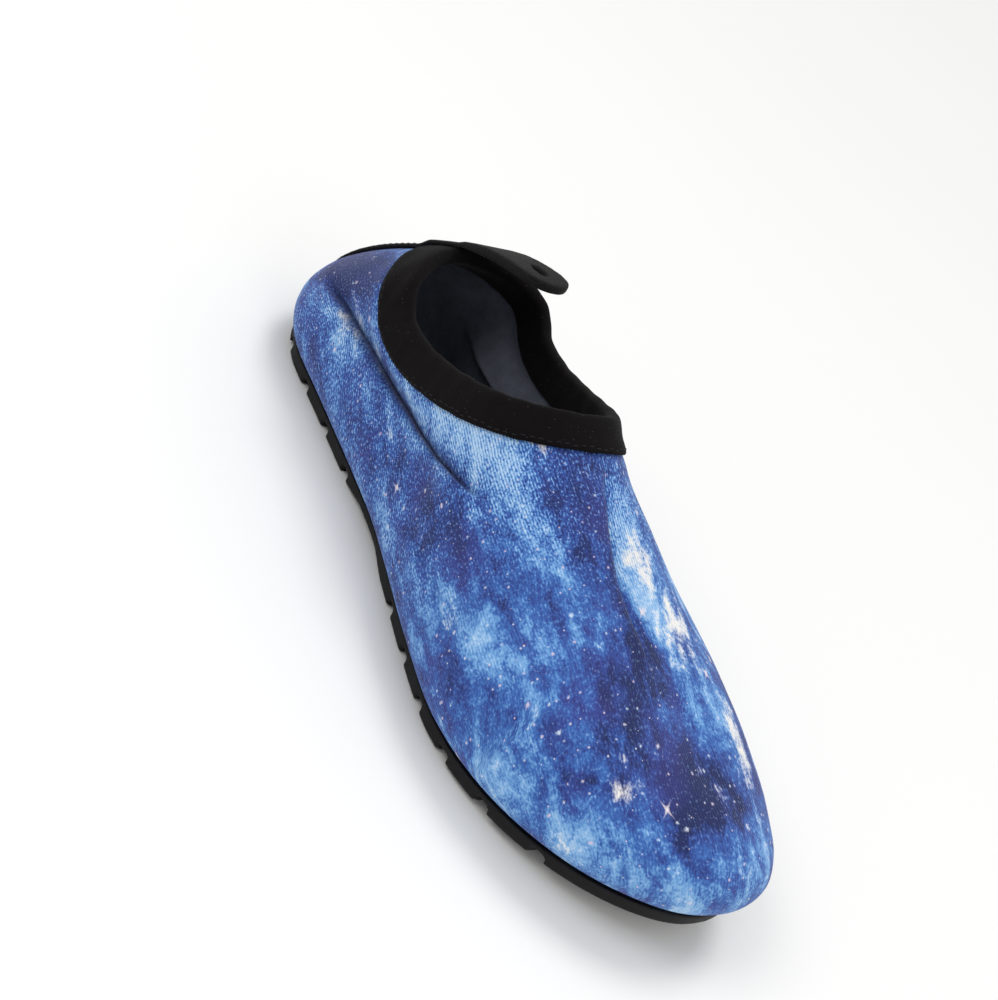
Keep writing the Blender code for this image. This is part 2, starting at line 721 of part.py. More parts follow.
def centre_shoe():
    """Puts the middle of the shoe's outline over the origin, with the tread on the floor."""
    bpy.context.view_layer.update()
    graph = bpy.context.evaluated_depsgraph_get()
    corners = []
    for obj in PARTS.objects:
        evaluated = obj.evaluated_get(graph)
        corners += [obj.matrix_world @ Vector(c) for c in evaluated.bound_box]
    low = [min(c[k] for c in corners) for k in range(3)]
    high = [max(c[k] for c in corners) for k in range(3)]
    SHOE.location = (-(low[0] + high[0]) / 2, -(low[1] + high[1]) / 2, -low[2])
    bpy.context.view_layer.update()


for old in list(bpy.data.objects):
    bpy.data.objects.remove(old, do_unlink=True)

PARTS = bpy.data.collections.new("water shoe")
CUTTERS = bpy.data.collections.new("cutters")
bpy.context.scene.collection.children.link(PARTS)
bpy.context.scene.collection.children.link(CUTTERS)
SHOE = bpy.data.objects.new("shoe_frame", None)
bpy.context.scene.collection.objects.link(SHOE)

COLLAR_EDGE = make_upper()
SKIN = skin_finder()
make_binding(COLLAR_EDGE, SKIN)
make_pull_tab(heel_curves(), SKIN)
make_outsole()
make_insole()
centre_shoe()
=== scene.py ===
"""Looks of a slip-on water shoe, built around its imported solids.

+X points to the toe, +Y to the inner side of the foot and +Z up, in metres. Print, creases and
knit are placed on the upper in the shoe's own sizes, in millimetres.
"""

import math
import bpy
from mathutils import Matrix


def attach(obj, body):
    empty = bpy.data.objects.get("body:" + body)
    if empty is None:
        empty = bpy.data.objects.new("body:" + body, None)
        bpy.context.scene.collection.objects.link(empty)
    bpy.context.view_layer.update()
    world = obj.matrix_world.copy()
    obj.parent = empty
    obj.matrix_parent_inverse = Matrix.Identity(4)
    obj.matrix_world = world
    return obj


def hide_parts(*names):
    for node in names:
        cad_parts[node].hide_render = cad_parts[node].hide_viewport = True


bl_info = {
    "name": "Water shoe looks",
    "version": (1, 0, 0),
    "blender": (4, 5, 0),
    "location": "3D View > Sidebar > Water shoe",
    "description": "Dresses the packed water shoe with printed knit, tape, rubber and stitches",
    "category": "Object",
}

import bmesh
import bpy
import numpy as np
from mathutils import Matrix, Vector
from mathutils.bvhtree import BVHTree

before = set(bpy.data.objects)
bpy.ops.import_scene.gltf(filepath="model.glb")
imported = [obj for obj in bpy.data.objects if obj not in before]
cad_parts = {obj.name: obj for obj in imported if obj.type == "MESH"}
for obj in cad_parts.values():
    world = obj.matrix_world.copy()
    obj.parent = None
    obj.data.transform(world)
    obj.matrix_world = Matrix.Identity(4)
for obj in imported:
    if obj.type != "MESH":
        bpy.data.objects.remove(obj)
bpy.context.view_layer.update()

MM = 0.001

# The camera, fitted to the photograph
CAMERA_AZIMUTH = math.radians(51.87)
CAMERA_ELEVATION = math.radians(32.45)
CAMERA_ROLL = math.radians(38.65)
CAMERA_DISTANCE = 0.5265
CAMERA_AIM = Vector((0.0, 0.0, 0.035))
CAMERA_LENS = 65.53
CAMERA_SHIFT = (-0.0347, 0.0167)
SENSOR_WIDTH = 36.0
WINDOW_FROM = (-0.30, 0.42, 1.0)

# A hair below the tread, so that the two surfaces never fight
FLOOR_HEIGHT = -0.00005
WORLD_STRENGTH = 0.70
WINDOW_ENERGY = 0.95
WINDOW_ANGLE = math.radians(24)

# The studio's lamps: name, place, size in metres, watts and colour
LAMPS = (
    ("key softbox", (-0.35, -0.95, 1.15), 0.8, 5.0, (1.0, 0.99, 0.97)),
    ("toe softbox", (1.10, -0.10, 0.70), 0.7, 2.0, (1.0, 1.0, 1.0)),
)
LAMP_AIM = Vector((0.0, 0.0, 0.03))

# The upper's own sizes in millimetres: places where the ribs start to fan out, the inside's middle
TOE_FAN_AT = 70.0
HEEL_FAN_AT = -86.9
TOE_REACH = 55.0
TOE_HALF_WIDTH = 46.5
TOE_FULLNESS = 2.1
THROAT_AT = -4.0
THROAT_RISE = 58.0
COLLAR_SLOPE = 0.42
LOWEST_TURN = -0.3
CLOTH_SLOTS = 50
RIM_BASE = 12.9
CORE_HEIGHT = 22.0
KNIT_WALL = 1.8
BINDING_LOFT = 0.18
TAPE_LOFT = 0.12
SOLE_ROUNDS = 5
SOLE_FACES_KEPT = 0.40
CREST_LINE = ((-125.0, 0.0), (-54.0, 0.6), (-24.0, 1.9), (-4.0, 2.8),
              (26.0, 4.8), (51.0, 7.0), (96.0, 9.3), (125.0, 9.5))

# Creases pressed into the upper. Points are (along, height) on a side and (along, across) on
# top. The wall drops in behind the line by depth, over the reach, and swells before it by
# swell. The notch is the narrow, dark nick right behind a fold, and the lip is how far the fold
# hangs over it. A crease eases in over that length. Only fine ones get a finer mesh.
CREASES = (
    {"side": "lateral", "depth": 4.6, "reach": 7.5, "swell": 2.1,
     "notch": 1.2, "lip": 2.4, "eases": 14, "fine": True,
     "line": ((-104, 26.5), (-92, 27.5), (-72, 29.0), (-50, 30.8),
              (-32, 33.4), (-18, 36.6), (-6, 41.0), (4, 45.0))},
    {"side": "lateral", "depth": 1.4, "reach": 3.5, "swell": 0.6,
     "notch": 0.5, "lip": 0.3, "eases": 12, "fine": False,
     "line": ((-66, 34.5), (-58, 33.6), (-47, 35.2), (-38, 38.6))},
    {"side": "lateral", "depth": 0.8, "reach": 7.0, "swell": 0.6,
     "notch": 0.0, "lip": 0.0, "eases": 12, "fine": False,
     "line": ((-10, 20.0), (6, 24.0), (24, 25.0), (40, 22.0))},
    {"side": "medial", "depth": 3.0, "reach": 7.0, "swell": 1.5,
     "notch": 0.6, "lip": 0.8, "eases": 20, "fine": False,
     "line": ((-92, 26.5), (-70, 28.0), (-44, 29.0), (-22, 30.5), (-8, 35.0))},
    {"side": "medial", "depth": 1.3, "reach": 6.0, "swell": 0.8,
     "notch": 0.3, "lip": 0.3, "eases": 12, "fine": False,
     "line": ((2, 42.0), (12, 34.0), (24, 26.0), (32, 20.0))},
    {"side": "top", "depth": 4.6, "reach": 13.0, "swell": 1.8,
     "notch": 0.6, "lip": 2.0, "eases": 28, "fine": True,
     "line": ((4, 1.5), (16, -2.0), (28, -4.5), (40, -5.5), (52, -4.5), (64, -1.5))},
)
FINE_MESH_WITHIN = 4.0
JUMP_PALER = 0.19
JUMP_DARKER = 0.16
# Crease depth at which the painted shade in a fold's nick is at full strength
DEEP_FOLD = 4.5

# Lighter and darker places of the print: middle, radii (all in millimetres) and strength
TONES = (
    ((-14, -27, 53), (24, 9, 9), 0.68),
    ((-40, -28, 38), (20, 9, 7), 0.40),
    ((-92, -20, 40), (14, 9, 7), -0.85),
    ((16, -10, 60), (15, 12, 9), -0.40),
    ((-6, -33, 30), (22, 9, 9), -0.36),
    ((30, -33, 42), (16, 9, 7), -0.22),
    ((33, -22, 51), (13, 7, 5), 0.20),
    ((20, -42, 22), (20, 9, 10), 0.32),
    ((44, -38, 32), (18, 9, 8), 0.34),
    ((60, -27, 41), (13, 8, 6), 0.18),
    ((60, -2, 48), (13, 8, 8), -0.38),
    ((74, -16, 42), (16, 12, 8), -0.34),
    ((98, 2, 37), (15, 15, 8), -0.66),
    ((100, -30, 20), (15, 12, 9), 0.44),
    ((118, -6, 20), (10, 14, 9), 0.32),
    ((116, 16, 28), (9, 10, 8), 0.18),
    ((80, -42, 14), (20, 8, 8), 0.28),
    ((28, 6, 58), (17, 7, 8), 0.42),
    ((50, 9, 50), (18, 9, 8), 0.36),
    ((77, 20, 41), (20, 10, 8), 0.44),
    ((26, 24, 44), (18, 9, 9), 0.30),
    ((60, 36, 28), (24, 9, 9), -0.30),
    ((10, 30, 34), (20, 9, 12), 0.22),
    ((-40, 24, 34), (20, 9, 10), -0.26),
    ((-78, -28, 26), (16, 8, 6), 0.42),
    ((-104, -22, 34), (12, 9, 9), -0.85),
    ((-112, -16, 16), (12, 10, 7), 0.16),
    ((-110, -12, 30), (12, 12, 10), -0.40),
    ((-108, 19, 30), (12, 9, 9), 0.40),
    ((-96, 26, 16), (14, 9, 6), -0.25),
)

# Cream and white patches of the print, in the same form
CREAMS = (
    ((-4, -17, 64.5), (10, 3.0, 3.4), 0.80),
    ((-20, -23, 59), (9, 3.0, 3.4), 0.30),
    ((8, -7, 65), (6, 3.0, 3.0), 0.42),
    ((94, -21, 34), (4.0, 3.4, 3.5), 0.92),
    ((90, -28, 31), (2.4, 2.2, 2.5), 0.62),
    ((86, -18, 37), (2.2, 1.8, 2.0), 0.58),
    ((32, 7, 55), (12, 5.5, 5.5), 0.76),
    ((52, 14, 48), (15, 7.0, 6), 0.86),
    ((78, 25, 38), (17, 6.5, 6), 0.84),
    ((104, 26, 30), (11, 5, 5), 0.52),
    ((24, 22, 46), (10, 6, 7), 0.38),
    ((-80, -27, 30), (10, 5, 5), 0.58),
    ((-62, -27, 33), (8, 5, 3.5), 0.40),
    ((-108, 19, 31), (8, 6, 6), 0.62),
    ((34, -41, 26), (8, 4, 4), 0.34),
    ((118, 12, 30), (6, 6, 4), 0.35),
    ((100, -30, 17), (9, 6, 4), 0.34),
)

# Noises of the print and the yarn on the flat cloth: turn, stretch along and across, size of a
# feature in millimetres, detail, roughness and distortion
CLOTH_NOISES = {
    "drift": (0.50, (0.80, 1.25, 1.0), 38.0, 3.0, 0.50, 0.8),
    "wisps": (-0.45, (0.55, 1.50, 1.0), 15.0, 7.0, 0.64, 0.6),
    "edges": (0.20, (0.80, 1.10, 1.0), 5.0, 7.0, 0.68, 0.3),
    "violet": (0.00, (1.00, 1.00, 1.0), 22.0, 3.0, 0.50, 0.0),
    "flecks": (0.00, (0.80, 1.20, 1.0), 0.80, 2.0, 0.62, 0.0),
    "fuzz": (0.00, (1.00, 1.00, 1.0), 0.50, 3.0, 0.60, 0.0),
}

# Stars of the print: spacing, smallest and biggest radius in millimetres, rarity of the big ones
# and strength
STARS = ((3.4, 0.0, 0.46, 2.6, 0.72), (9.5, 0.0, 0.90, 4.0, 0.80))
SPARKLE_SPACING = 31.0
SPARKLE_SHARE = 0.80
SPARKLE_REACH = 2.8

# The heel tape's stitches run up its lower part, as seen from a middle inside the heel
TAPE_MIDDLE = Vector((-0.088, 0.0, 0.024))
TAPE_FROM_DEGREES = 176.0
TAPE_TO_DEGREES = 118.0
SEAM_INSET = 0.0017
THREAD_SUNK = 0.08


def linear(hex_colour):
    """Turns an sRGB hex value into a linear colour."""
    parts = [int(hex_colour[i:i + 2], 16) / 255 for i in (1, 3, 5)]
    return tuple(c / 12.92 if c <= 0.04045 else ((c + 0.055) / 1.055) ** 2.4 for c in parts) + (1.0,)


def length_setting(name, description, metres):
    return bpy.props.FloatProperty(
        name=name, description=description, default=metres, unit="LENGTH", precision=5)


def colour_setting(name, description, hex_colour):
    return bpy.props.FloatVectorProperty(
        name=name, description=description, subtype="COLOR", size=4, default=linear(hex_colour))


class WaterShoeSizes(bpy.types.PropertyGroup):
    wale: length_setting("Wale", "Distance between the knit's ribs", 0.00085)
    crease: bpy.props.FloatProperty(
        name="Crease", description="Share of the modelled depth of the slack creases",
        default=1.0, min=0.0, max=1.5)
    stitch: length_setting("Stitch", "Length of one stitch", 0.0019)
    stitch_step: length_setting("Stitch step", "Distance from stitch to stitch", 0.0026)
    thread: length_setting("Thread", "Thickness of the sewing thread", 0.00045)
    tape_voxel: length_setting("Tape fineness", "Grid size of the remeshed heel tape", 0.0004)
    sole_voxel: length_setting("Sole fineness", "Grid size of the remeshed sole", 0.00055)


class WaterShoeColours(bpy.types.PropertyGroup):
    night: colour_setting("Night", "Darkest blue of the print", "#182456")
    violet: colour_setting("Violet", "Violet blue ground of the print", "#2C458E")
    ocean: colour_setting("Ocean", "Middle blue of the print", "#3A69B2")
    sky: colour_setting("Sky", "Light blue of the print", "#70A4DA")
    mist: colour_setting("Mist", "Palest blue of the print", "#B2D3F1")
    cream: colour_setting("Cream", "Cream of the print's clouds", "#F6F1E8")
    tape: colour_setting("Tape", "Black of the collar's tape", "#0B080A")
    lining: colour_setting("Lining", "Navy black of the lining", "#50535F")
    rubber: colour_setting("Rubber", "Black of the moulded sole", "#0E0D0E")
    floor: colour_setting("Floor", "Pale studio floor", "#F1F1F0")


def sizes():
    return bpy.context.scene.water_shoe_sizes


def colours():
    return bpy.context.scene.water_shoe_colours


def only(obj):
    """Makes one object the selected and active one."""
    for other in bpy.context.selected_objects:
        other.select_set(False)
    obj.select_set(True)
    bpy.context.view_layer.objects.active = obj


def apply_modifiers(obj):
    only(obj)
    for modifier in list(obj.modifiers):
        bpy.ops.object.modifier_apply(modifier=modifier.name)


def copy_node(node, name):
    """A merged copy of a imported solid, with quads where its triangles pair up."""
    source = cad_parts[node]
    piece = bpy.data.objects.new(name, source.data.copy())
    piece.data.materials.clear()
    bpy.context.scene.collection.objects.link(piece)
    only(piece)
    bpy.ops.object.mode_set(mode="EDIT")
    bpy.ops.mesh.select_all(action="SELECT")
    bpy.ops.mesh.remove_doubles(threshold=0.00001)
    bpy.ops.mesh.customdata_custom_splitnormals_clear()
    bpy.ops.mesh.tris_convert_to_quads(face_threshold=math.radians(50), shape_threshold=math.radians(70))
    bpy.ops.object.mode_set(mode="OBJECT")
    return piece


def places(mesh):
    """Vertex places of a mesh in millimetres."""
    flat = np.zeros(len(mesh.vertices) * 3)
    mesh.vertices.foreach_get("co", flat)
    return flat.reshape(-1, 3) / MM


def set_places(mesh, points):
    mesh.vertices.foreach_set("co", (points * MM).ravel())
    mesh.update()


def finder(obj):
    """A search tree of an object's faces."""
    mesh = bmesh.new()
    mesh.from_mesh(obj.data)
    tree = BVHTree.FromBMesh(mesh)
    mesh.free()
    return tree


def distances(tree, points):
    """Distance of each place to a tree's surface, in millimetres."""
    return np.array([tree.find_nearest(Vector(p) * MM)[3] / MM for p in points])


def smooth_step(value, low, high):
    t = np.clip((value - low) / (high - low), 0, 1)
    return t * t * (3 - 2 * t)


def finish_piece(piece, node, material):
    """Gives a piece its material, ties it to the shoe and hides the solid that it stands for."""
    if material is not None:
        piece.data.materials.append(material)
    piece.data.shade_smooth()
    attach(piece, "root")
    if node:
        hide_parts(node)
    piece.select_set(False)


def add_node(tree, kind, inputs=None, out=None, **settings):
    """Adds a shader node with its settings and links. With out, it returns that output."""
    made = tree.nodes.new("ShaderNode" + kind)
    for name, value in settings.items():
        setattr(made, name, value)
    for key, value in (inputs or {}).items():
        if isinstance(value, bpy.types.NodeSocket):
            tree.links.new(value, made.inputs[key])
        else:
            made.inputs[key].default_value = value
    return made if out is None else made.outputs[out]


def new_material(name, roughness, **sockets):
    """A material with a Principled shader. Plain numbers go straight on its sockets."""
    material = bpy.data.materials.new(name)
    material.use_nodes = True
    tree = material.node_tree
    shader = tree.nodes["Principled BSDF"]
    shader.inputs["Roughness"].default_value = roughness
    for key, value in sockets.items():
        shader.inputs[key.replace("_", " ")].default_value = value
    return material, tree, shader


def fill_ramp(ramp, stops):
    """Sets a colour ramp's stops."""
    elements = ramp.color_ramp.elements
    while len(elements) > 1:
        elements.remove(elements[-1])
    elements[0].position, elements[0].color = stops[0]
    for position, colour in stops[1:]:
        elements.new(position).color = colour


def crest_across(x):
    xs, ys = zip(*CREST_LINE)
    return np.interp(x, xs, ys)


def crease_frame(points, crease):
    """Each place's distance behind a crease's line, and how far the crease counts there, 0 to 1."""
    x, y, z = points.T
    middle = crest_across(x)
    if crease["side"] == "top":
        second, here = y, z > 30.0
        mask = smooth_step(z, 28.0, 36.0)
    else:
        sign = -1 if crease["side"] == "lateral" else 1
        second, here = z, (y - middle) * sign > 0
        mask = smooth_step((y - middle) * sign, 6.0, 12.0)
    xs, levels = np.array(crease["line"], float).T
    tilt = np.interp(x, xs, np.gradient(levels, xs))
    away = (second - np.interp(x, xs, levels)) / np.hypot(1, tilt)
    ends = smooth_step(x, xs.min() - 4, xs.min() + crease["eases"])
    ends = ends * (1 - smooth_step(x, xs.max() - 14, xs.max() + 5))
    return away, ends * mask * here


def painted_fold_shade(points):
    """How much painted shade each place gets for lying in a fold's nick, 0 to 1."""
    shade = np.zeros(len(points))
    for crease in CREASES:
        away, share = crease_frame(points, crease)
        near = np.exp(-((away - 0.4) / 1.1) ** 2)
        shade = np.maximum(shade, near * share * min(1.0, crease["depth"] / DEEP_FOLD))
    return shade


def print_jump(points):
    """How the print's tone changes across the instep's fold, which hides a strip of the cloth."""
    away, share = crease_frame(points, CREASES[-1])
    paler = smooth_step(away, -0.4, 0.6) * (1 - smooth_step(away, 8.0, 18.0))
    darker = smooth_step(away, -9.0, -0.5) * (away < 0)
    return share * (JUMP_PALER * paler - JUMP_DARKER * darker)


def crease_push(points, crease, inner):
    """How far a crease moves each place outwards, and over the fold as a lip, in millimetres."""
    away, share = crease_frame(points, crease)
    # The inner face steps a wall's thickness before the outer one, so the wall stays whole
    away = away + KNIT_WALL * inner
    behind = 1 / (1 + np.exp(-away / 0.35))
    drop = crease["depth"] * np.exp(-np.clip(away, 0, None) / crease["reach"]) * behind
    drop += crease["notch"] * np.exp(-((away - 0.7) / 1.0) ** 2)
    swell = crease["swell"] * np.exp(-(away / (0.8 * crease["reach"])) ** 2) * (1 - behind)
    lip = crease["lip"] * np.exp(-np.abs(away) / 1.6) * (1 - behind)
    return (swell - drop) * share, lip * share


def refine_folds(piece):
    """Cuts the faces along the sharp creases finer, so that their edges are crisp."""
    points = places(piece.data)
    near = np.zeros(len(points), bool)
    for crease in CREASES:
        if crease["fine"]:
            away, share = crease_frame(points, crease)
            near |= (np.abs(away) < FINE_MESH_WITHIN) & (share > 0.05)
    only(piece)
    bpy.ops.object.mode_set(mode="EDIT")
    bpy.ops.mesh.select_all(action="DESELECT")
    bpy.ops.object.mode_set(mode="OBJECT")
    for face in piece.data.polygons:
        face.select = all(near[v] for v in face.vertices)
    bpy.ops.object.mode_set(mode="EDIT")
    bpy.ops.mesh.select_mode(type="FACE")
    bpy.ops.mesh.subdivide(number_cuts=2)
    bpy.ops.object.mode_set(mode="OBJECT")


def press_creases(piece, inside):
    """Presses the creases and a slight unevenness into both faces of the wall."""
    points = places(piece.data)
    inner = np.zeros(len(points))
    for face in piece.data.polygons:
        if inside[face.index]:
            inner[list(face.vertices)] = 1.0
    band = distances(finder(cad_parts["collar_binding"]), points)
    tape = distances(finder(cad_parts["heel_pull_tab"]), points)
    free = smooth_step(band, 2.0, 7.0) * smooth_step(tape, 2.0, 8.0) * smooth_step(points[:, 2], 10.0, 17.0)
    push = np.zeros(len(points))
    moved = points.copy()
    for crease in CREASES:
        out, lip = crease_push(points, crease, inner)
        push += out * sizes().crease
        moved[:, 1 if crease["side"] == "top" else 2] += lip * free * sizes().crease
    x, y, z = points.T
    uneven = 0.30 * np.sin(x / 7.1 + y / 9.3) * np.sin(z / 6.3 + x / 13.0 + 1.0)
    uneven += 0.16 * np.sin(x / 3.7 - y / 4.9 + 2.0) * np.sin(z / 4.1 + y / 5.3)
    push = (push + uneven) * free
    outward = np.stack([np.zeros(len(points)), y - crest_across(x), z - CORE_HEIGHT], 1)
    outward /= np.linalg.norm(outward, axis=1)[:, None] + 1e-6
    set_places(piece.data, moved + outward * push[:, None])


def ellipse_arc(half, height, turn):
    """Length of an ellipse's arc from its top down to a turn."""
    steps = 16
    total = np.zeros(len(turn))
    for k in range(steps):
        t = turn * (k + 0.5) / steps
        total += np.hypot(half * np.cos(t), height * np.sin(t))
    return total * turn / steps


def cloth_places(points):
    """Where each place of the upper lies on the flat cloth, in millimetres."""
    x, y, z = points.T
    middle = crest_across(np.clip(x, HEEL_FAN_AT, TOE_FAN_AT))
    side = np.where(y < middle, -1.0, 1.0)
    bins = np.linspace(CREST_LINE[0][0], CREST_LINE[-1][0], CLOTH_SLOTS + 1)
    slot = np.clip(np.digitize(x, bins) - 1, 0, CLOTH_SLOTS - 1)
    top = np.zeros(CLOTH_SLOTS)
    wide = np.zeros((2, CLOTH_SLOTS))
    for k in range(CLOTH_SLOTS):
        inside = slot == k
        if inside.any():
            top[k] = z[inside].max()
            wide[0, k] = max(1.0, (middle - y)[inside].max())
            wide[1, k] = max(1.0, (y - middle)[inside].max())
    centres = (bins[:-1] + bins[1:]) / 2
    height = np.interp(np.clip(x, THROAT_AT, 100), centres, top) - RIM_BASE
    collar = THROAT_RISE + (THROAT_AT - np.clip(x, HEEL_FAN_AT, None)) * COLLAR_SLOPE
    height = np.where(x < THROAT_AT, collar, height)
    half = np.where(side < 0, np.interp(x, centres, wide[0]), np.interp(x, centres, wide[1]))
    out = np.abs(y - middle)
    toe = x > TOE_FAN_AT
    heel = x < HEEL_FAN_AT
    reach = np.hypot(x - TOE_FAN_AT, out)
    angle = np.arctan2(out, x - TOE_FAN_AT)
    sideways = TOE_REACH / TOE_HALF_WIDTH * np.abs(np.sin(angle))
    roundness = np.abs(np.cos(angle)) ** TOE_FULLNESS + sideways ** TOE_FULLNESS
    rim = TOE_REACH / roundness ** (1 / TOE_FULLNESS)
    half = np.where(toe, rim, half)
    out = np.where(toe, reach, out)
    rise = np.clip((z - RIM_BASE) / height, LOWEST_TURN, None)
    turn = np.arctan2(out / half, rise)
    arc = ellipse_arc(half, height, turn)
    along = np.where(toe, TOE_FAN_AT + arc * np.cos(angle), x)
    across = np.where(toe, arc * np.sin(angle), arc)
    heel_wide = [np.interp(HEEL_FAN_AT, centres, row) for row in wide]
    radius = np.where(side < 0, heel_wide[0], heel_wide[1])
    back = np.arctan2(out, HEEL_FAN_AT - x)
    level = np.arctan2(np.hypot(out, HEEL_FAN_AT - x) / radius, rise)
    around = ellipse_arc(radius, height, level)
    along = np.where(heel, HEEL_FAN_AT - radius * (math.pi / 2 - back), along)
    across = np.where(heel, around, across)
    return np.stack([along, across * side], 1)


def blobs(points, table):
    """Sum of soft places of the print at each vertex."""
    total = np.zeros(len(points))
    for middle, radii, strength in table:
        away = (points - np.array(middle)) / np.array(radii)
        total += strength * np.exp(-(away ** 2).sum(1))
    return total


def set_attribute(mesh, name, values):
    made = mesh.attributes.new(name, "FLOAT", "POINT")
    made.data.foreach_set("value", values.astype(np.float32))


def mark_print(piece, shade, jump):
    """Lays the flat cloth's coordinates, the print's light and dark places and the folds' painted shade on
    the upper.
    """
    mesh = piece.data
    points = places(mesh)
    cloth = cloth_places(points)
    layer = mesh.uv_layers.new(name="cloth")
    corners = np.zeros(len(mesh.loops), np.int32)
    mesh.loops.foreach_get("vertex_index", corners)
    layer.data.foreach_set("uv", cloth[corners].astype(np.float32).ravel())
    set_attribute(mesh, "print_tone", blobs(points, TONES) + jump)
    set_attribute(mesh, "print_cream", blobs(points, CREAMS))
    # Painted shade for the bottom of the folds' nicks
    set_attribute(mesh, "painted_fold_shade", shade)
    band = distances(finder(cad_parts["collar_binding"]), points)
    x, y, z = points.T
    stretched = (1 - smooth_step(band, 10.0, 46.0)) * 0.9
    stretched = np.maximum(stretched, smooth_step(-y, 20, 30) * (1 - smooth_step(x, -10, 40)) * 0.75)
    set_attribute(mesh, "print_stretch", stretched)


def knit_material():
    """Printed polyester-elastane knit, matt: where it is stretched, pale yarn shows between the dye."""
    material, tree, shader = new_material(
        "printed stretch knit", 0.66, Sheen_Weight=0.12, Sheen_Roughness=0.5, Specular_IOR_Level=0.2)
    c = colours()
    wale = sizes().wale / MM
    cloth = add_node(tree, "UVMap", out=0, uv_map="cloth")
    tone = add_node(tree, "Attribute", out="Fac", attribute_name="print_tone")
    cream = add_node(tree, "Attribute", out="Fac", attribute_name="print_cream")
    stretch = add_node(tree, "Attribute", out="Fac", attribute_name="print_stretch")
    noises = {}
    for name, (turn, stretch_by, size, detail, roughness, distortion) in CLOTH_NOISES.items():
        place = add_node(tree, "Mapping", {"Vector": cloth, "Rotation": (0, 0, turn), "Scale": stretch_by},
                         out=0)
        inputs = {"Vector": place, "Scale": 1 / size, "Detail": detail, "Roughness": roughness,
                  "Distortion": distortion}
        value = add_node(tree, "TexNoise", inputs, out="Fac", noise_dimensions="2D")
        noises[name] = add_node(tree, "Math", {0: value, 1: 0.5}, out=0, operation="SUBTRACT")

    # Ribs along the shoe, each a row of loops, 0.85 mm apart so that they show
    split = add_node(tree, "SeparateXYZ", {0: cloth})
    turn = add_node(tree, "Math", {0: split.outputs[1], 1: 2 * math.pi / wale}, out=0, operation="MULTIPLY")
    rib = add_node(tree, "Math", {0: turn}, out=0, operation="SINE")
    turn = add_node(tree, "Math", {0: split.outputs[0], 1: 2 * math.pi / (wale * 0.9), 2: rib},
                    out=0, operation="MULTIPLY_ADD")
    loop = add_node(tree, "Math", {0: turn}, out=0, operation="SINE")

    # Nebula: drifts 40 mm across, wisps that run aslant and fine cloud edges, broken up by the
    # loops of the yarn, most where the knit is stretched
    fleck_share = add_node(tree, "Math", {0: stretch, 1: 1.20, 2: 0.52}, out=0, operation="MULTIPLY_ADD")
    rib_share = add_node(tree, "Math", {0: stretch, 1: 0.085, 2: 0.012}, out=0, operation="MULTIPLY_ADD")
    level = add_node(tree, "Math", {0: tone, 1: 0.92, 2: 0.365}, out=0, operation="MULTIPLY_ADD")
    cloud = level
    for value, weight in ((noises["drift"], 0.70), (noises["wisps"], 1.22), (noises["edges"], 0.98)):
        cloud = add_node(tree, "Math", {0: value, 1: weight, 2: cloud}, out=0, operation="MULTIPLY_ADD")
    total = add_node(tree, "Math", {0: noises["flecks"], 1: fleck_share, 2: cloud},
                     out=0, operation="MULTIPLY_ADD")
    total = add_node(tree, "Math", {0: rib, 1: rib_share, 2: total}, out=0, operation="MULTIPLY_ADD")
    ramp = add_node(tree, "ValToRGB", {0: total})
    fill_ramp(ramp, [(0.0, tuple(c.night)), (0.24, tuple(c.violet)), (0.46, tuple(c.ocean)),
                     (0.68, tuple(c.sky)), (1.02, tuple(c.mist))])

    # A violet cast over the darker ground, and cream clouds with torn edges
    violet = add_node(tree, "MapRange", {0: noises["violet"], 1: -0.04, 2: 0.16, 4: 0.34}, out=0)
    dark = add_node(tree, "MapRange", {0: total, 1: 0.52, 2: 0.26}, out=0)
    cast = add_node(tree, "Math", {0: violet, 1: dark}, out=0, operation="MULTIPLY")
    torn = cream
    for value, weight in ((noises["wisps"], 1.8), (noises["edges"], 1.6), (noises["flecks"], 0.7)):
        torn = add_node(tree, "Math", {0: value, 1: weight, 2: torn}, out=0, operation="MULTIPLY_ADD")
    torn = add_node(tree, "MapRange", {0: torn, 1: 0.36, 2: 1.02, 4: 0.96},
                    out=0, interpolation_type="SMOOTHSTEP")
    layers = [(cast, linear("#413F8E")), (torn, tuple(c.cream))]

    # Single loops of bare yarn glint through the dye
    glint = add_node(tree, "MapRange", {0: noises["flecks"], 1: 0.10, 2: 0.25}, out=0)
    glint_share = add_node(tree, "Math", {0: stretch, 1: 0.30, 2: 0.26}, out=0, operation="MULTIPLY_ADD")
    glint = add_node(tree, "Math", {0: glint, 1: glint_share}, out=0, operation="MULTIPLY")
    layers.append((glint, linear("#9DBDE6")))

    # Stars: ragged dots in two sizes
    for spacing, small, big, rare, strength in STARS:
        cell = add_node(tree, "TexVoronoi", {"Vector": cloth, "Scale": 1 / spacing}, voronoi_dimensions="2D")
        pick = add_node(tree, "SeparateColor", {0: cell.outputs["Color"]})
        chance = add_node(tree, "Math", {0: pick.outputs[0], 1: rare}, out=0, operation="POWER")
        radius = add_node(tree, "Math", {0: chance, 1: (big - small) / spacing, 2: small / spacing}, out=0,
                          operation="MULTIPLY_ADD")
        share = add_node(tree, "Math", {0: cell.outputs["Distance"], 1: radius}, out=0, operation="DIVIDE")
        share = add_node(tree, "Math", {0: noises["flecks"], 1: 2.4, 2: share},
                         out=0, operation="MULTIPLY_ADD")
        dot = add_node(tree, "MapRange", {0: share, 1: 1.25, 2: 0.3, 4: strength},
                       out=0, interpolation_type="SMOOTHSTEP")
        hue = add_node(tree, "Mix", {0: pick.outputs[1], 6: linear("#E6CFE0"), 7: linear("#CFE2F6")}, out=2,
                       data_type="RGBA")
        layers.append((dot, hue))

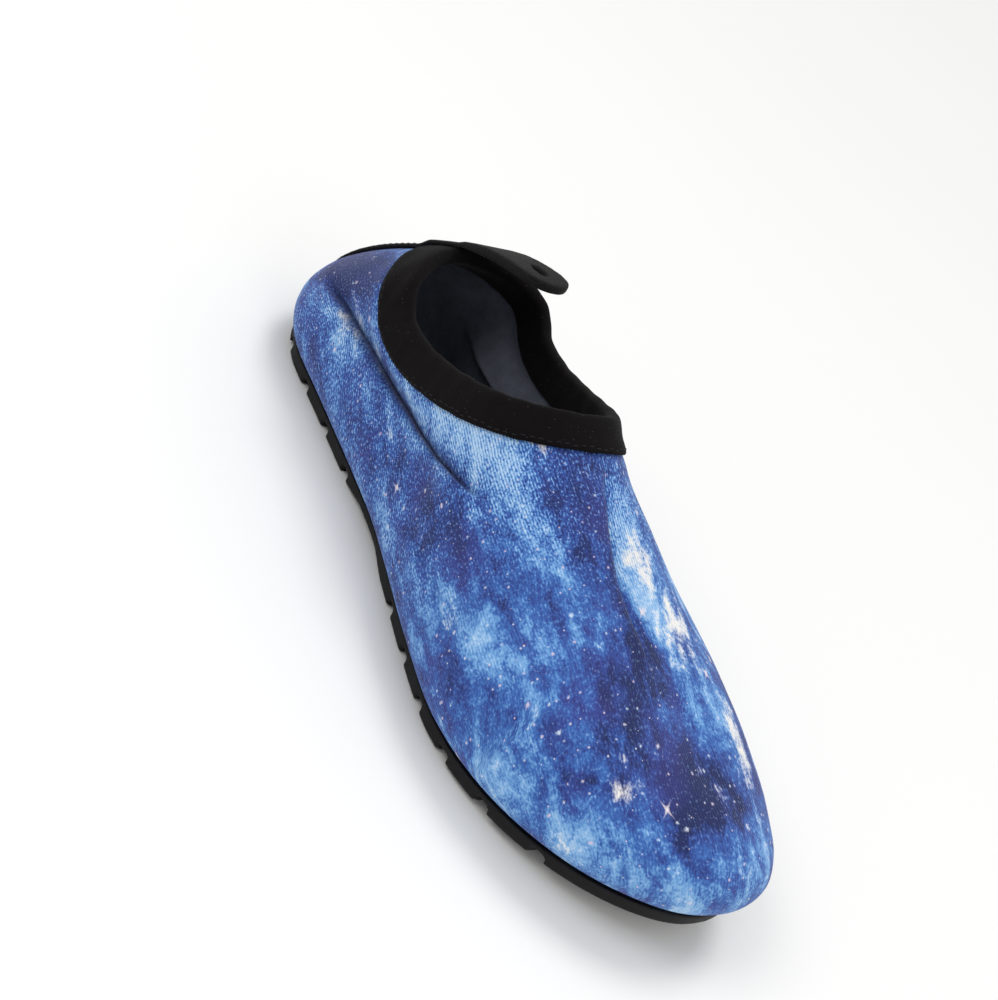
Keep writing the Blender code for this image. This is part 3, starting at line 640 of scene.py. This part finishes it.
    # A few four-pointed sparkles with uneven arms
    cell = add_node(tree, "TexVoronoi", {"Vector": cloth, "Scale": 1 / SPARKLE_SPACING, "Randomness": 0.9},
                    voronoi_dimensions="2D")
    away = add_node(tree, "VectorMath", {0: cloth, 1: cell.outputs["Position"]}, out=0, operation="SUBTRACT")
    away = add_node(tree, "Mapping", {"Vector": away, "Rotation": (0, 0, 0.9), "Scale": (0.8, 1.15, 1.0)},
                    out=0)
    parts = add_node(tree, "SeparateXYZ", {0: away})
    arms = add_node(tree, "Math", {0: parts.outputs[0], 1: parts.outputs[1]}, out=0, operation="MULTIPLY")
    arms = add_node(tree, "Math", {0: arms}, out=0, operation="ABSOLUTE")
    arms = add_node(tree, "Math", {0: noises["flecks"], 1: 0.5, 2: arms}, out=0, operation="MULTIPLY_ADD")
    length = add_node(tree, "VectorMath", {0: away}, out="Value", operation="LENGTH")
    shine = add_node(tree, "MapRange", {0: arms, 1: 0.34, 2: 0.0}, out=0)
    fade = add_node(tree, "MapRange", {0: length, 1: SPARKLE_REACH, 2: 0.3}, out=0)
    chosen = add_node(tree, "SeparateColor", {0: cell.outputs["Color"]}, out=2)
    chosen = add_node(tree, "Math", {0: chosen, 1: SPARKLE_SHARE}, out=0, operation="GREATER_THAN")
    for factor in (fade, chosen):
        shine = add_node(tree, "Math", {0: shine, 1: factor}, out=0, operation="MULTIPLY")
    layers.append((shine, linear("#EADFE6")))

    # Between the ribs the knit lies deeper; painted shade darkens these grooves, more where the knit is
    # stretched
    groove = add_node(tree, "MapRange", {0: rib, 1: 0.3, 2: -1.0}, out=0)
    groove_share = add_node(tree, "Math", {0: stretch, 1: 0.34, 2: 0.08}, out=0, operation="MULTIPLY_ADD")
    groove = add_node(tree, "Math", {0: groove, 1: groove_share}, out=0, operation="MULTIPLY")
    layers.append((groove, linear("#24479A")))

    # Painted shade: the bottom of each fold's nick is darkened towards deep navy
    fold = add_node(tree, "Attribute", out="Fac", attribute_name="painted_fold_shade")
    fold = add_node(tree, "Math", {0: fold, 1: 0.8}, out=0, operation="MULTIPLY")
    layers.append((fold, linear("#18265A")))
    ground = ramp.outputs[0]
    for share, colour in layers:
        ground = add_node(tree, "Mix", {0: share, 6: ground, 7: colour}, out=2, data_type="RGBA")
    tree.links.new(ground, shader.inputs["Base Color"])

    yarn = add_node(tree, "Math", {0: loop, 1: 0.25, 2: rib}, out=0, operation="MULTIPLY_ADD")
    yarn = add_node(tree, "Math", {0: noises["fuzz"], 1: 0.9, 2: yarn}, out=0, operation="MULTIPLY_ADD")
    bump = add_node(tree, "Bump", {"Height": yarn, "Distance": 0.00009, "Strength": 0.6}, out=0)
    tree.links.new(bump, shader.inputs["Normal"])
    rough = add_node(tree, "Math", {0: noises["edges"], 1: 0.25, 2: 0.7}, out=0, operation="MULTIPLY_ADD")
    tree.links.new(rough, shader.inputs["Roughness"])
    return material


def cloth_material(name, colour, speck, loft, thread, roughness):
    """Plain black brushed cloth: a short nap, with rare specks where a fibre catches the light."""
    material, tree, shader = new_material(
        name, roughness, Sheen_Weight=0.03, Sheen_Roughness=0.5, Specular_IOR_Level=0.08)
    place = add_node(tree, "TexCoord", out="Object")
    nap = add_node(tree, "TexNoise", {"Vector": place, "Scale": 1 / (thread * MM),
                                      "Detail": 3.0, "Roughness": 0.7},
                   out="Fac")
    lumps = add_node(tree, "TexNoise", {"Vector": place, "Scale": 1 / (5 * MM), "Detail": 4.0}, out="Fac")
    both = add_node(tree, "Math", {0: nap, 1: lumps}, out=0, operation="MULTIPLY")
    shade = add_node(tree, "MapRange", {0: both, 1: 0.12, 2: 0.40, 3: 0.80, 4: 1.25}, out=0)
    base = add_node(tree, "Mix", {0: 1.0, 6: tuple(colour), 7: shade},
                    out=2, data_type="RGBA", blend_type="MULTIPLY")
    specks = add_node(tree, "TexVoronoi", {"Vector": place, "Scale": 1 / (1.5 * MM)})
    dot = add_node(tree, "MapRange", {0: specks.outputs["Distance"], 1: 0.12, 2: 0.02, 4: 0.75}, out=0)
    pick = add_node(tree, "SeparateColor", {0: specks.outputs["Color"]}, out=0)
    rare = add_node(tree, "Math", {0: pick, 1: 0.55}, out=0, operation="GREATER_THAN")
    share = add_node(tree, "Math", {0: dot, 1: rare}, out=0, operation="MULTIPLY")
    fibre = add_node(tree, "Mix", {0: share, 6: base, 7: linear(speck)}, out=2, data_type="RGBA")
    tree.links.new(fibre, shader.inputs["Base Color"])
    bump = add_node(tree, "Bump", {"Height": nap, "Distance": loft * MM, "Strength": 0.8}, out=0)
    tree.links.new(bump, shader.inputs["Normal"])
    return material


def woven_material():
    """Woven polyester heel tape, matt: a tight weave of black yarn, 0.75 mm from thread to thread."""
    material, tree, shader = new_material(
        "woven heel tape", 0.8, Sheen_Weight=0.04, Sheen_Roughness=0.5, Specular_IOR_Level=0.14)
    place = add_node(tree, "TexCoord", out="Object")
    parts = add_node(tree, "SeparateXYZ", {0: place})
    run = add_node(tree, "Math", {0: parts.outputs[0], 1: parts.outputs[2]}, out=0, operation="ADD")
    waves = []
    for value, thread in ((parts.outputs[1], 0.75), (run, 0.95)):
        turn = add_node(tree, "Math", {0: value, 1: 2 * math.pi / (thread * MM)}, out=0, operation="MULTIPLY")
        waves.append(add_node(tree, "Math", {0: turn}, out=0, operation="SINE"))
    weave = add_node(tree, "Math", {0: waves[0], 1: waves[1]}, out=0, operation="MULTIPLY")
    fuzz = add_node(tree, "TexNoise", {"Vector": place, "Scale": 1 / (0.35 * MM), "Detail": 3.0}, out="Fac")
    height = add_node(tree, "Math", {0: fuzz, 1: 2.0, 2: weave}, out=0, operation="MULTIPLY_ADD")
    shade = add_node(tree, "MapRange", {0: height, 1: -0.3, 2: 2.3}, out=0)
    base = add_node(tree, "Mix", {0: shade, 6: linear("#060507"), 7: linear("#1E1C1D")},
                    out=2, data_type="RGBA")
    tree.links.new(base, shader.inputs["Base Color"])
    bump = add_node(tree, "Bump", {"Height": height, "Distance": 0.07 * MM, "Strength": 0.7}, out=0)
    tree.links.new(bump, shader.inputs["Normal"])
    return material


def rubber_material():
    """Moulded natural rubber: matt black with the mould's spark-eroded grain and a little dust."""
    material, tree, shader = new_material("moulded rubber", 0.55, Specular_IOR_Level=0.22)
    place = add_node(tree, "TexCoord", out="Object")
    grain = add_node(tree, "TexNoise", {"Vector": place, "Scale": 1 / (0.4 * MM),
                                        "Detail": 4.0, "Roughness": 0.6},
                     out="Fac")
    worn = add_node(tree, "TexNoise", {"Vector": place, "Scale": 1 / (18 * MM),
                                       "Detail": 5.0, "Roughness": 0.6},
                    out="Fac")
    rough = add_node(tree, "MapRange", {0: worn, 1: 0.3, 2: 0.7, 3: 0.46, 4: 0.68}, out=0)
    tree.links.new(rough, shader.inputs["Roughness"])
    dust = add_node(tree, "MapRange", {0: worn, 1: 0.5, 2: 0.8, 4: 0.3}, out=0)
    base = add_node(tree, "Mix", {0: dust, 6: tuple(colours().rubber), 7: linear("#232223")},
                    out=2, data_type="RGBA")
    tree.links.new(base, shader.inputs["Base Color"])
    bump = add_node(tree, "Bump", {"Height": grain, "Distance": 0.05 * MM, "Strength": 0.5}, out=0)
    tree.links.new(bump, shader.inputs["Normal"])
    return material


def inner_faces(mesh):
    """True for each face that looks towards the inside of the shoe."""
    centres = np.zeros(len(mesh.polygons) * 3)
    normals = np.zeros(len(mesh.polygons) * 3)
    mesh.polygons.foreach_get("center", centres)
    mesh.polygons.foreach_get("normal", normals)
    centres = centres.reshape(-1, 3) / MM
    normals = normals.reshape(-1, 3)
    x = np.clip(centres[:, 0], -96, 88)
    core = np.stack([x, crest_across(x), np.full(len(x), CORE_HEIGHT)], 1)
    return ((centres - core) * normals).sum(1) < 0


class WATERSHOE_OT_upper(bpy.types.Operator):
    """Makes the printed knit upper with its slack creases and dark lining"""
    bl_idname = "watershoe.upper"
    bl_label = "Knit upper"

    def execute(self, context):
        piece = copy_node("upper", "printed_knit_upper")
        rounding = piece.modifiers.new("rounding", "SUBSURF")
        rounding.levels = rounding.render_levels = 2
        apply_modifiers(piece)
        refine_folds(piece)
        inside = inner_faces(piece.data)
        flat = places(piece.data)
        # Painted shade for the folds' nicks, found before the creases are pressed
        shade = painted_fold_shade(flat)
        jump = print_jump(flat)
        press_creases(piece, inside)
        mark_print(piece, shade, jump)
        piece.data.materials.append(knit_material())
        piece.data.materials.append(cloth_material(
            "brushed lining", colours().lining, "#5A5C68", 0.10, 0.45, 0.85))
        piece.data.polygons.foreach_set("material_index", inside.astype(np.int32))
        finish_piece(piece, "upper", None)
        return {"FINISHED"}


class WATERSHOE_OT_binding(bpy.types.Operator):
    """Makes the soft black tape that is folded over the collar's edge"""
    bl_idname = "watershoe.binding"
    bl_label = "Collar binding"

    def execute(self, context):
        piece = copy_node("collar_binding", "soft_collar_binding")
        rounding = piece.modifiers.new("rounding", "SUBSURF")
        rounding.levels = rounding.render_levels = 2
        soften = piece.modifiers.new("rolled edges", "SMOOTH")
        soften.factor = 0.5
        soften.iterations = 8
        apply_modifiers(piece)
        points = places(piece.data)
        x, y, z = points.T
        wave = 0.10 * np.sin(x / 2.3 + z / 3.1) * np.sin(y / 2.9) + 0.07 * np.sin(x / 1.1 + y / 1.7)
        normals = np.zeros(len(points) * 3)
        piece.data.vertices.foreach_get("normal", normals)
        set_places(piece.data, points + normals.reshape(-1, 3) * (wave + BINDING_LOFT)[:, None])
        material = cloth_material("brushed binding tape", colours().tape, "#5E565A", 0.16, 0.40, 0.88)
        finish_piece(piece, "collar_binding", material)
        return {"FINISHED"}


class WATERSHOE_OT_heel_tape(bpy.types.Operator):
    """Makes the woven tape up the heel, which ends in the pull tab with its hole"""
    bl_idname = "watershoe.heel_tape"
    bl_label = "Heel tape and pull tab"

    def execute(self, context):
        piece = copy_node("heel_pull_tab", "woven_heel_tape")
        remesh = piece.modifiers.new("even grid", "REMESH")
        remesh.mode = "VOXEL"
        remesh.voxel_size = sizes().tape_voxel
        soften = piece.modifiers.new("soft edges", "SMOOTH")
        soften.factor = 0.5
        soften.iterations = 24
        swell = piece.modifiers.new("yarn loft", "DISPLACE")
        swell.strength = TAPE_LOFT * MM
        swell.mid_level = 0.0
        apply_modifiers(piece)
        finish_piece(piece, "heel_pull_tab", woven_material())
        return {"FINISHED"}


class WATERSHOE_OT_outsole(bpy.types.Operator):
    """Makes the moulded rubber sole with a smoothly curved outline and rounded edges"""
    bl_idname = "watershoe.outsole"
    bl_label = "Outsole"

    def execute(self, context):
        piece = copy_node("outsole", "moulded_outsole")
        only(piece)
        bpy.ops.object.mode_set(mode="EDIT")
        bpy.ops.mesh.select_all(action="SELECT")
        bpy.ops.mesh.subdivide(number_cuts=3)
        bpy.ops.object.mode_set(mode="OBJECT")
        points = places(piece.data)
        points[:, :2] += outline_push(points)
        set_places(piece.data, points)
        remesh = piece.modifiers.new("even grid", "REMESH")
        remesh.mode = "VOXEL"
        remesh.voxel_size = sizes().sole_voxel
        soften = piece.modifiers.new("moulded edges", "SMOOTH")
        soften.factor = 0.5
        soften.iterations = SOLE_ROUNDS
        thin = piece.modifiers.new("fewer faces", "DECIMATE")
        thin.ratio = SOLE_FACES_KEPT
        apply_modifiers(piece)
        finish_piece(piece, "outsole", rubber_material())
        return {"FINISHED"}


class WATERSHOE_OT_insole(bpy.types.Operator):
    """Makes the cloth-faced foam insole with its rounded lip"""
    bl_idname = "watershoe.insole"
    bl_label = "Insole"

    def execute(self, context):
        piece = copy_node("insole", "foam_insole")
        rounding = piece.modifiers.new("rounding", "SUBSURF")
        rounding.levels = rounding.render_levels = 2
        apply_modifiers(piece)
        material = cloth_material("insole cloth", colours().lining, "#4A4C58", 0.12, 0.6, 0.9)
        finish_piece(piece, "insole", material)
        return {"FINISHED"}


def edge_loop(node, centre, wanted):
    """The outermost loop of a node's wanted edges, in order, in metres."""
    mesh = bmesh.new()
    mesh.from_mesh(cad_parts[node].data)
    bmesh.ops.remove_doubles(mesh, verts=mesh.verts, dist=0.00001)
    linked = {}
    for edge in mesh.edges:
        if len(edge.link_faces) == 2 and wanted(edge):
            for vert in edge.verts:
                linked.setdefault(vert.index, []).append(edge)
    mesh.verts.ensure_lookup_table()
    seen, loops = set(), []
    for start in linked:
        if start in seen:
            continue
        loop, here = [], mesh.verts[start]
        while here.index not in seen:
            seen.add(here.index)
            loop.append(here.co.copy())
            for edge in linked[here.index]:
                other = edge.other_vert(here)
                if other.index not in seen:
                    here = other
                    break
        loops.append(loop)
    mesh.free()
    loops = [loop for loop in loops if len(loop) > 30]
    return max(loops, key=lambda loop: sum((p - centre).length for p in loop) / len(loop))


def sharp_edge(edge):
    return edge.calc_face_angle(0.0) > math.radians(50)


def top_edge(edge):
    """True where a level top face meets an upright wall."""
    tilts = sorted(abs(face.normal.z) for face in edge.link_faces)
    return tilts[0] < 0.3 and tilts[1] > 0.8 and max(face.normal.z for face in edge.link_faces) > 0.8


def outline_push(points):
    """How far each place of the sole moves sideways, to turn its straight edges into curves."""
    loop = edge_loop("outsole", Vector((0.0, 0.0, 0.005)), top_edge)
    ring = np.array([tuple(p) for p in loop])[:, :2] / MM
    before, after, last = np.roll(ring, 1, 0), np.roll(ring, -1, 0), np.roll(ring, -2, 0)
    spots, moves = [], []
    for t in np.arange(0.02, 1.0, 0.04):
        chord = ring * (1 - t) + after * t
        curve = 0.5 * (2 * ring + (after - before) * t + (2 * before - 5 * ring + 4 * after - last) * t ** 2
                       + (3 * ring - before - 3 * after + last) * t ** 3)
        spots.append(chord)
        moves.append(curve - chord)
    spots, moves = np.concatenate(spots), np.concatenate(moves)
    found = np.zeros((len(points), 2))
    for start in range(0, len(points), 500):
        part = points[start:start + 500, :2]
        gaps = np.linalg.norm(part[:, None] - spots[None], axis=2)
        near = gaps.argmin(1)
        fade = 1 - smooth_step(gaps.min(1), 1.5, 6.0)
        found[start:start + 500] = moves[near] * fade[:, None]
    return found


def even_steps(path, step, closed):
    """Places and directions at even steps along a path."""
    path = [Vector(p) for p in path]
    if closed:
        path.append(path[0])
    travel = np.concatenate(([0.0], np.cumsum([(b - a).length for a, b in zip(path[:-1], path[1:])])))
    count = max(1, int(round(travel[-1] / step)))
    points = np.array([tuple(p) for p in path])
    marks = (np.arange(count) + 0.5) * travel[-1] / count
    found = []
    for mark in marks:
        before = Vector([np.interp(mark - step * 0.3, travel, points[:, k]) for k in range(3)])
        after = Vector([np.interp(mark + step * 0.3, travel, points[:, k]) for k in range(3)])
        found.append(((before + after) / 2, (after - before).normalized()))
    return found


def collar_seam(tree):
    """Stitch places along the binding's lower edge, on its outer face."""
    loop = edge_loop("collar_binding", Vector((-0.045, 0.002, 0.050)), sharp_edge)
    found = []
    for place, run in even_steps(loop, sizes().stitch_step, True):
        _, normal, _, _ = tree.find_nearest(place)
        lift = normal.cross(run).normalized()
        if lift.z < 0:
            lift = -lift
        spot, normal, _, _ = tree.find_nearest(place + lift * SEAM_INSET)
        found.append((spot, run, normal))
    return found


def tape_seams(tree):
    """Stitch places along both edges of the heel tape, from its lower end up to the collar."""
    rows = {-1: [], 1: []}
    for degrees in np.arange(TAPE_FROM_DEGREES, TAPE_TO_DEGREES, -1.0):
        ray = Vector((math.cos(math.radians(degrees)), 0.0, math.sin(math.radians(degrees))))
        hits = []
        for y in np.arange(-0.014, 0.026, 0.0004):
            origin = Vector((TAPE_MIDDLE.x, y, TAPE_MIDDLE.z)) + ray * 0.12
            spot, normal, _, _ = tree.ray_cast(origin, -ray, 0.12)
            if spot is not None and (spot - TAPE_MIDDLE).length > 0.018:
                hits.append(spot)
        if len(hits) < 20:
            continue
        for side, index in ((-1, 4), (1, -5)):
            rows[side].append(hits[index])
    found = []
    for row in rows.values():
        for place, run in even_steps(row, sizes().stitch_step, False):
            spot, normal, _, _ = tree.find_nearest(place)
            found.append((spot, run, normal))
    return found


class WATERSHOE_OT_stitches(bpy.types.Operator):
    """Sews the binding and the heel tape on with rows of black thread"""
    bl_idname = "watershoe.stitches"
    bl_label = "Stitches"

    def execute(self, context):
        bpy.ops.mesh.primitive_uv_sphere_add(
            segments=8, ring_count=6, radius=1.0, rotation=(0.0, math.pi / 2, 0.0))
        pattern = context.object
        bpy.ops.object.transform_apply(location=False, rotation=True, scale=True)
        shape = np.array([tuple(v.co) for v in pattern.data.vertices])
        # A new sphere's faces come in an order that varies between runs, so they get a fixed one
        faces = []
        for face in pattern.data.polygons:
            corners = tuple(face.vertices)
            first = corners.index(min(corners))
            faces.append(corners[first:] + corners[:first])
        faces.sort()
        bpy.data.objects.remove(pattern)
        shape = shape * np.array([sizes().stitch / 2, sizes().thread / 2, sizes().thread / 2])
        shape[:, 2] -= 0.25 * sizes().thread * (shape[:, 0] / (sizes().stitch / 2)) ** 2
        seams = (("collar_thread", "binding", collar_seam(finder(bpy.data.objects["soft_collar_binding"]))),
                 ("heel_thread", "heel_tape", tape_seams(finder(bpy.data.objects["woven_heel_tape"]))))
        material, tree, shader = new_material("sewing thread", 0.6, Specular_IOR_Level=0.2)
        place = add_node(tree, "TexCoord", out="Object")
        twist = add_node(tree, "TexNoise", {"Vector": place, "Scale": 1 / (0.3 * MM), "Detail": 2.0},
                         out="Fac")
        base = add_node(tree, "Mix", {0: twist, 6: linear("#09080A"), 7: linear("#1A191C")},
                        out=2, data_type="RGBA")
        tree.links.new(base, shader.inputs["Base Color"])
        for name, slot, seam in seams:
            points, polygons = [], []
            for place, run, normal in seam:
                across = normal.cross(run).normalized()
                turn = Matrix((run, across, normal)).transposed()
                start = len(points)
                middle = place - normal * (THREAD_SUNK * sizes().thread)
                points += [middle + turn @ Vector(p) for p in shape]
                polygons += [tuple(i + start for i in face) for face in faces]
            mesh = bpy.data.meshes.new(name)
            mesh.from_pydata(points, [], polygons)
            piece = bpy.data.objects.new(name, mesh)
            context.scene.collection.objects.link(piece)
            finish_piece(piece, None, material)
        return {"FINISHED"}


class WATERSHOE_OT_stage(bpy.types.Operator):
    """Adds the pale floor, the soft studio light and the camera"""
    bl_idname = "watershoe.stage"
    bl_label = "Stage"

    def execute(self, context):
        bpy.ops.mesh.primitive_circle_add(
            vertices=64, radius=6.0, fill_type="NGON", location=(0.0, 0.0, FLOOR_HEIGHT))
        floor = context.object
        floor.name = "floor"
        material, tree, shader = new_material("studio floor", 0.85, Specular_IOR_Level=0.1)
        place = add_node(tree, "TexCoord", out="Object")
        grain = add_node(tree, "TexNoise", {"Vector": place, "Scale": 3.0, "Detail": 2.0}, out="Fac")
        base = add_node(tree, "Mix", {0: grain, 6: linear("#EFEFEE"), 7: tuple(colours().floor)}, out=2,
                        data_type="RGBA")
        tree.links.new(base, shader.inputs["Base Color"])
        floor.data.materials.append(material)
        floor.select_set(False)

        world = bpy.data.worlds.new("studio")
        context.scene.world = world
        world.use_nodes = True
        world.node_tree.nodes["Background"].inputs["Color"].default_value = (1.0, 1.0, 1.0, 1.0)
        world.node_tree.nodes["Background"].inputs["Strength"].default_value = WORLD_STRENGTH

        window = bpy.data.lights.new("window light", "SUN")
        window.energy = WINDOW_ENERGY
        window.angle = WINDOW_ANGLE
        holder = bpy.data.objects.new("window light", window)
        context.scene.collection.objects.link(holder)
        holder.rotation_euler = (-Vector(WINDOW_FROM)).to_track_quat("-Z", "Y").to_euler()

        for name, place, size, power, colour in LAMPS:
            lamp = bpy.data.lights.new(name, "AREA")
            lamp.shape = "DISK"
            lamp.size = size
            lamp.energy = power
            lamp.color = colour
            holder = bpy.data.objects.new(name, lamp)
            context.scene.collection.objects.link(holder)
            holder.location = place
            aim = LAMP_AIM - Vector(place)
            holder.rotation_euler = aim.to_track_quat("-Z", "Y").to_euler()

        camera_data = bpy.data.cameras.new("camera")
        camera_data.lens = CAMERA_LENS
        camera_data.sensor_width = SENSOR_WIDTH
        camera_data.sensor_fit = "HORIZONTAL"
        camera_data.shift_x, camera_data.shift_y = CAMERA_SHIFT
        camera_data.clip_start = 0.01
        camera = bpy.data.objects.new("camera", camera_data)
        context.scene.collection.objects.link(camera)
        flat = math.cos(CAMERA_ELEVATION)
        back = Vector((
            flat * math.cos(CAMERA_AZIMUTH), -flat * math.sin(CAMERA_AZIMUTH), math.sin(CAMERA_ELEVATION)))
        right = Vector((0, 0, 1)).cross(back).normalized()
        up = back.cross(right)
        across = right * math.cos(CAMERA_ROLL) + up * math.sin(CAMERA_ROLL)
        upward = up * math.cos(CAMERA_ROLL) - right * math.sin(CAMERA_ROLL)
        turn = Matrix((across, upward, back)).transposed().to_4x4()
        camera.matrix_world = Matrix.Translation(CAMERA_AIM + back * CAMERA_DISTANCE) @ turn
        context.scene.camera = camera
        context.scene.view_settings.view_transform = "Standard"
        return {"FINISHED"}


class WATERSHOE_PT_panel(bpy.types.Panel):
    bl_label = "Water shoe"
    bl_space_type = "VIEW_3D"
    bl_region_type = "UI"
    bl_category = "Water shoe"

    def draw(self, context):
        for group in (sizes(), colours()):
            for name in group.bl_rna.properties.keys():
                if name not in ("rna_type", "name"):
                    self.layout.prop(group, name)
        for operator in OPERATORS:
            self.layout.operator(operator.bl_idname)


OPERATORS = (WATERSHOE_OT_stage, WATERSHOE_OT_upper, WATERSHOE_OT_binding, WATERSHOE_OT_heel_tape,
             WATERSHOE_OT_outsole, WATERSHOE_OT_insole, WATERSHOE_OT_stitches)
CLASSES = (WaterShoeSizes, WaterShoeColours) + OPERATORS + (WATERSHOE_PT_panel,)


def register():
    for cls in CLASSES:
        bpy.utils.register_class(cls)
    bpy.types.Scene.water_shoe_sizes = bpy.props.PointerProperty(type=WaterShoeSizes)
    bpy.types.Scene.water_shoe_colours = bpy.props.PointerProperty(type=WaterShoeColours)


def unregister():
    del bpy.types.Scene.water_shoe_colours
    del bpy.types.Scene.water_shoe_sizes
    for cls in reversed(CLASSES):
        bpy.utils.unregister_class(cls)


def main():
    """Builds every piece in order."""
    register()
    bpy.ops.object.select_all(action="DESELECT")
    bpy.ops.watershoe.stage()
    bpy.ops.watershoe.upper()
    bpy.ops.watershoe.binding()
    bpy.ops.watershoe.heel_tape()
    bpy.ops.watershoe.outsole()
    bpy.ops.watershoe.insole()
    bpy.ops.watershoe.stitches()
    bpy.context.view_layer.update()


if __name__ == "__main__":
    main()
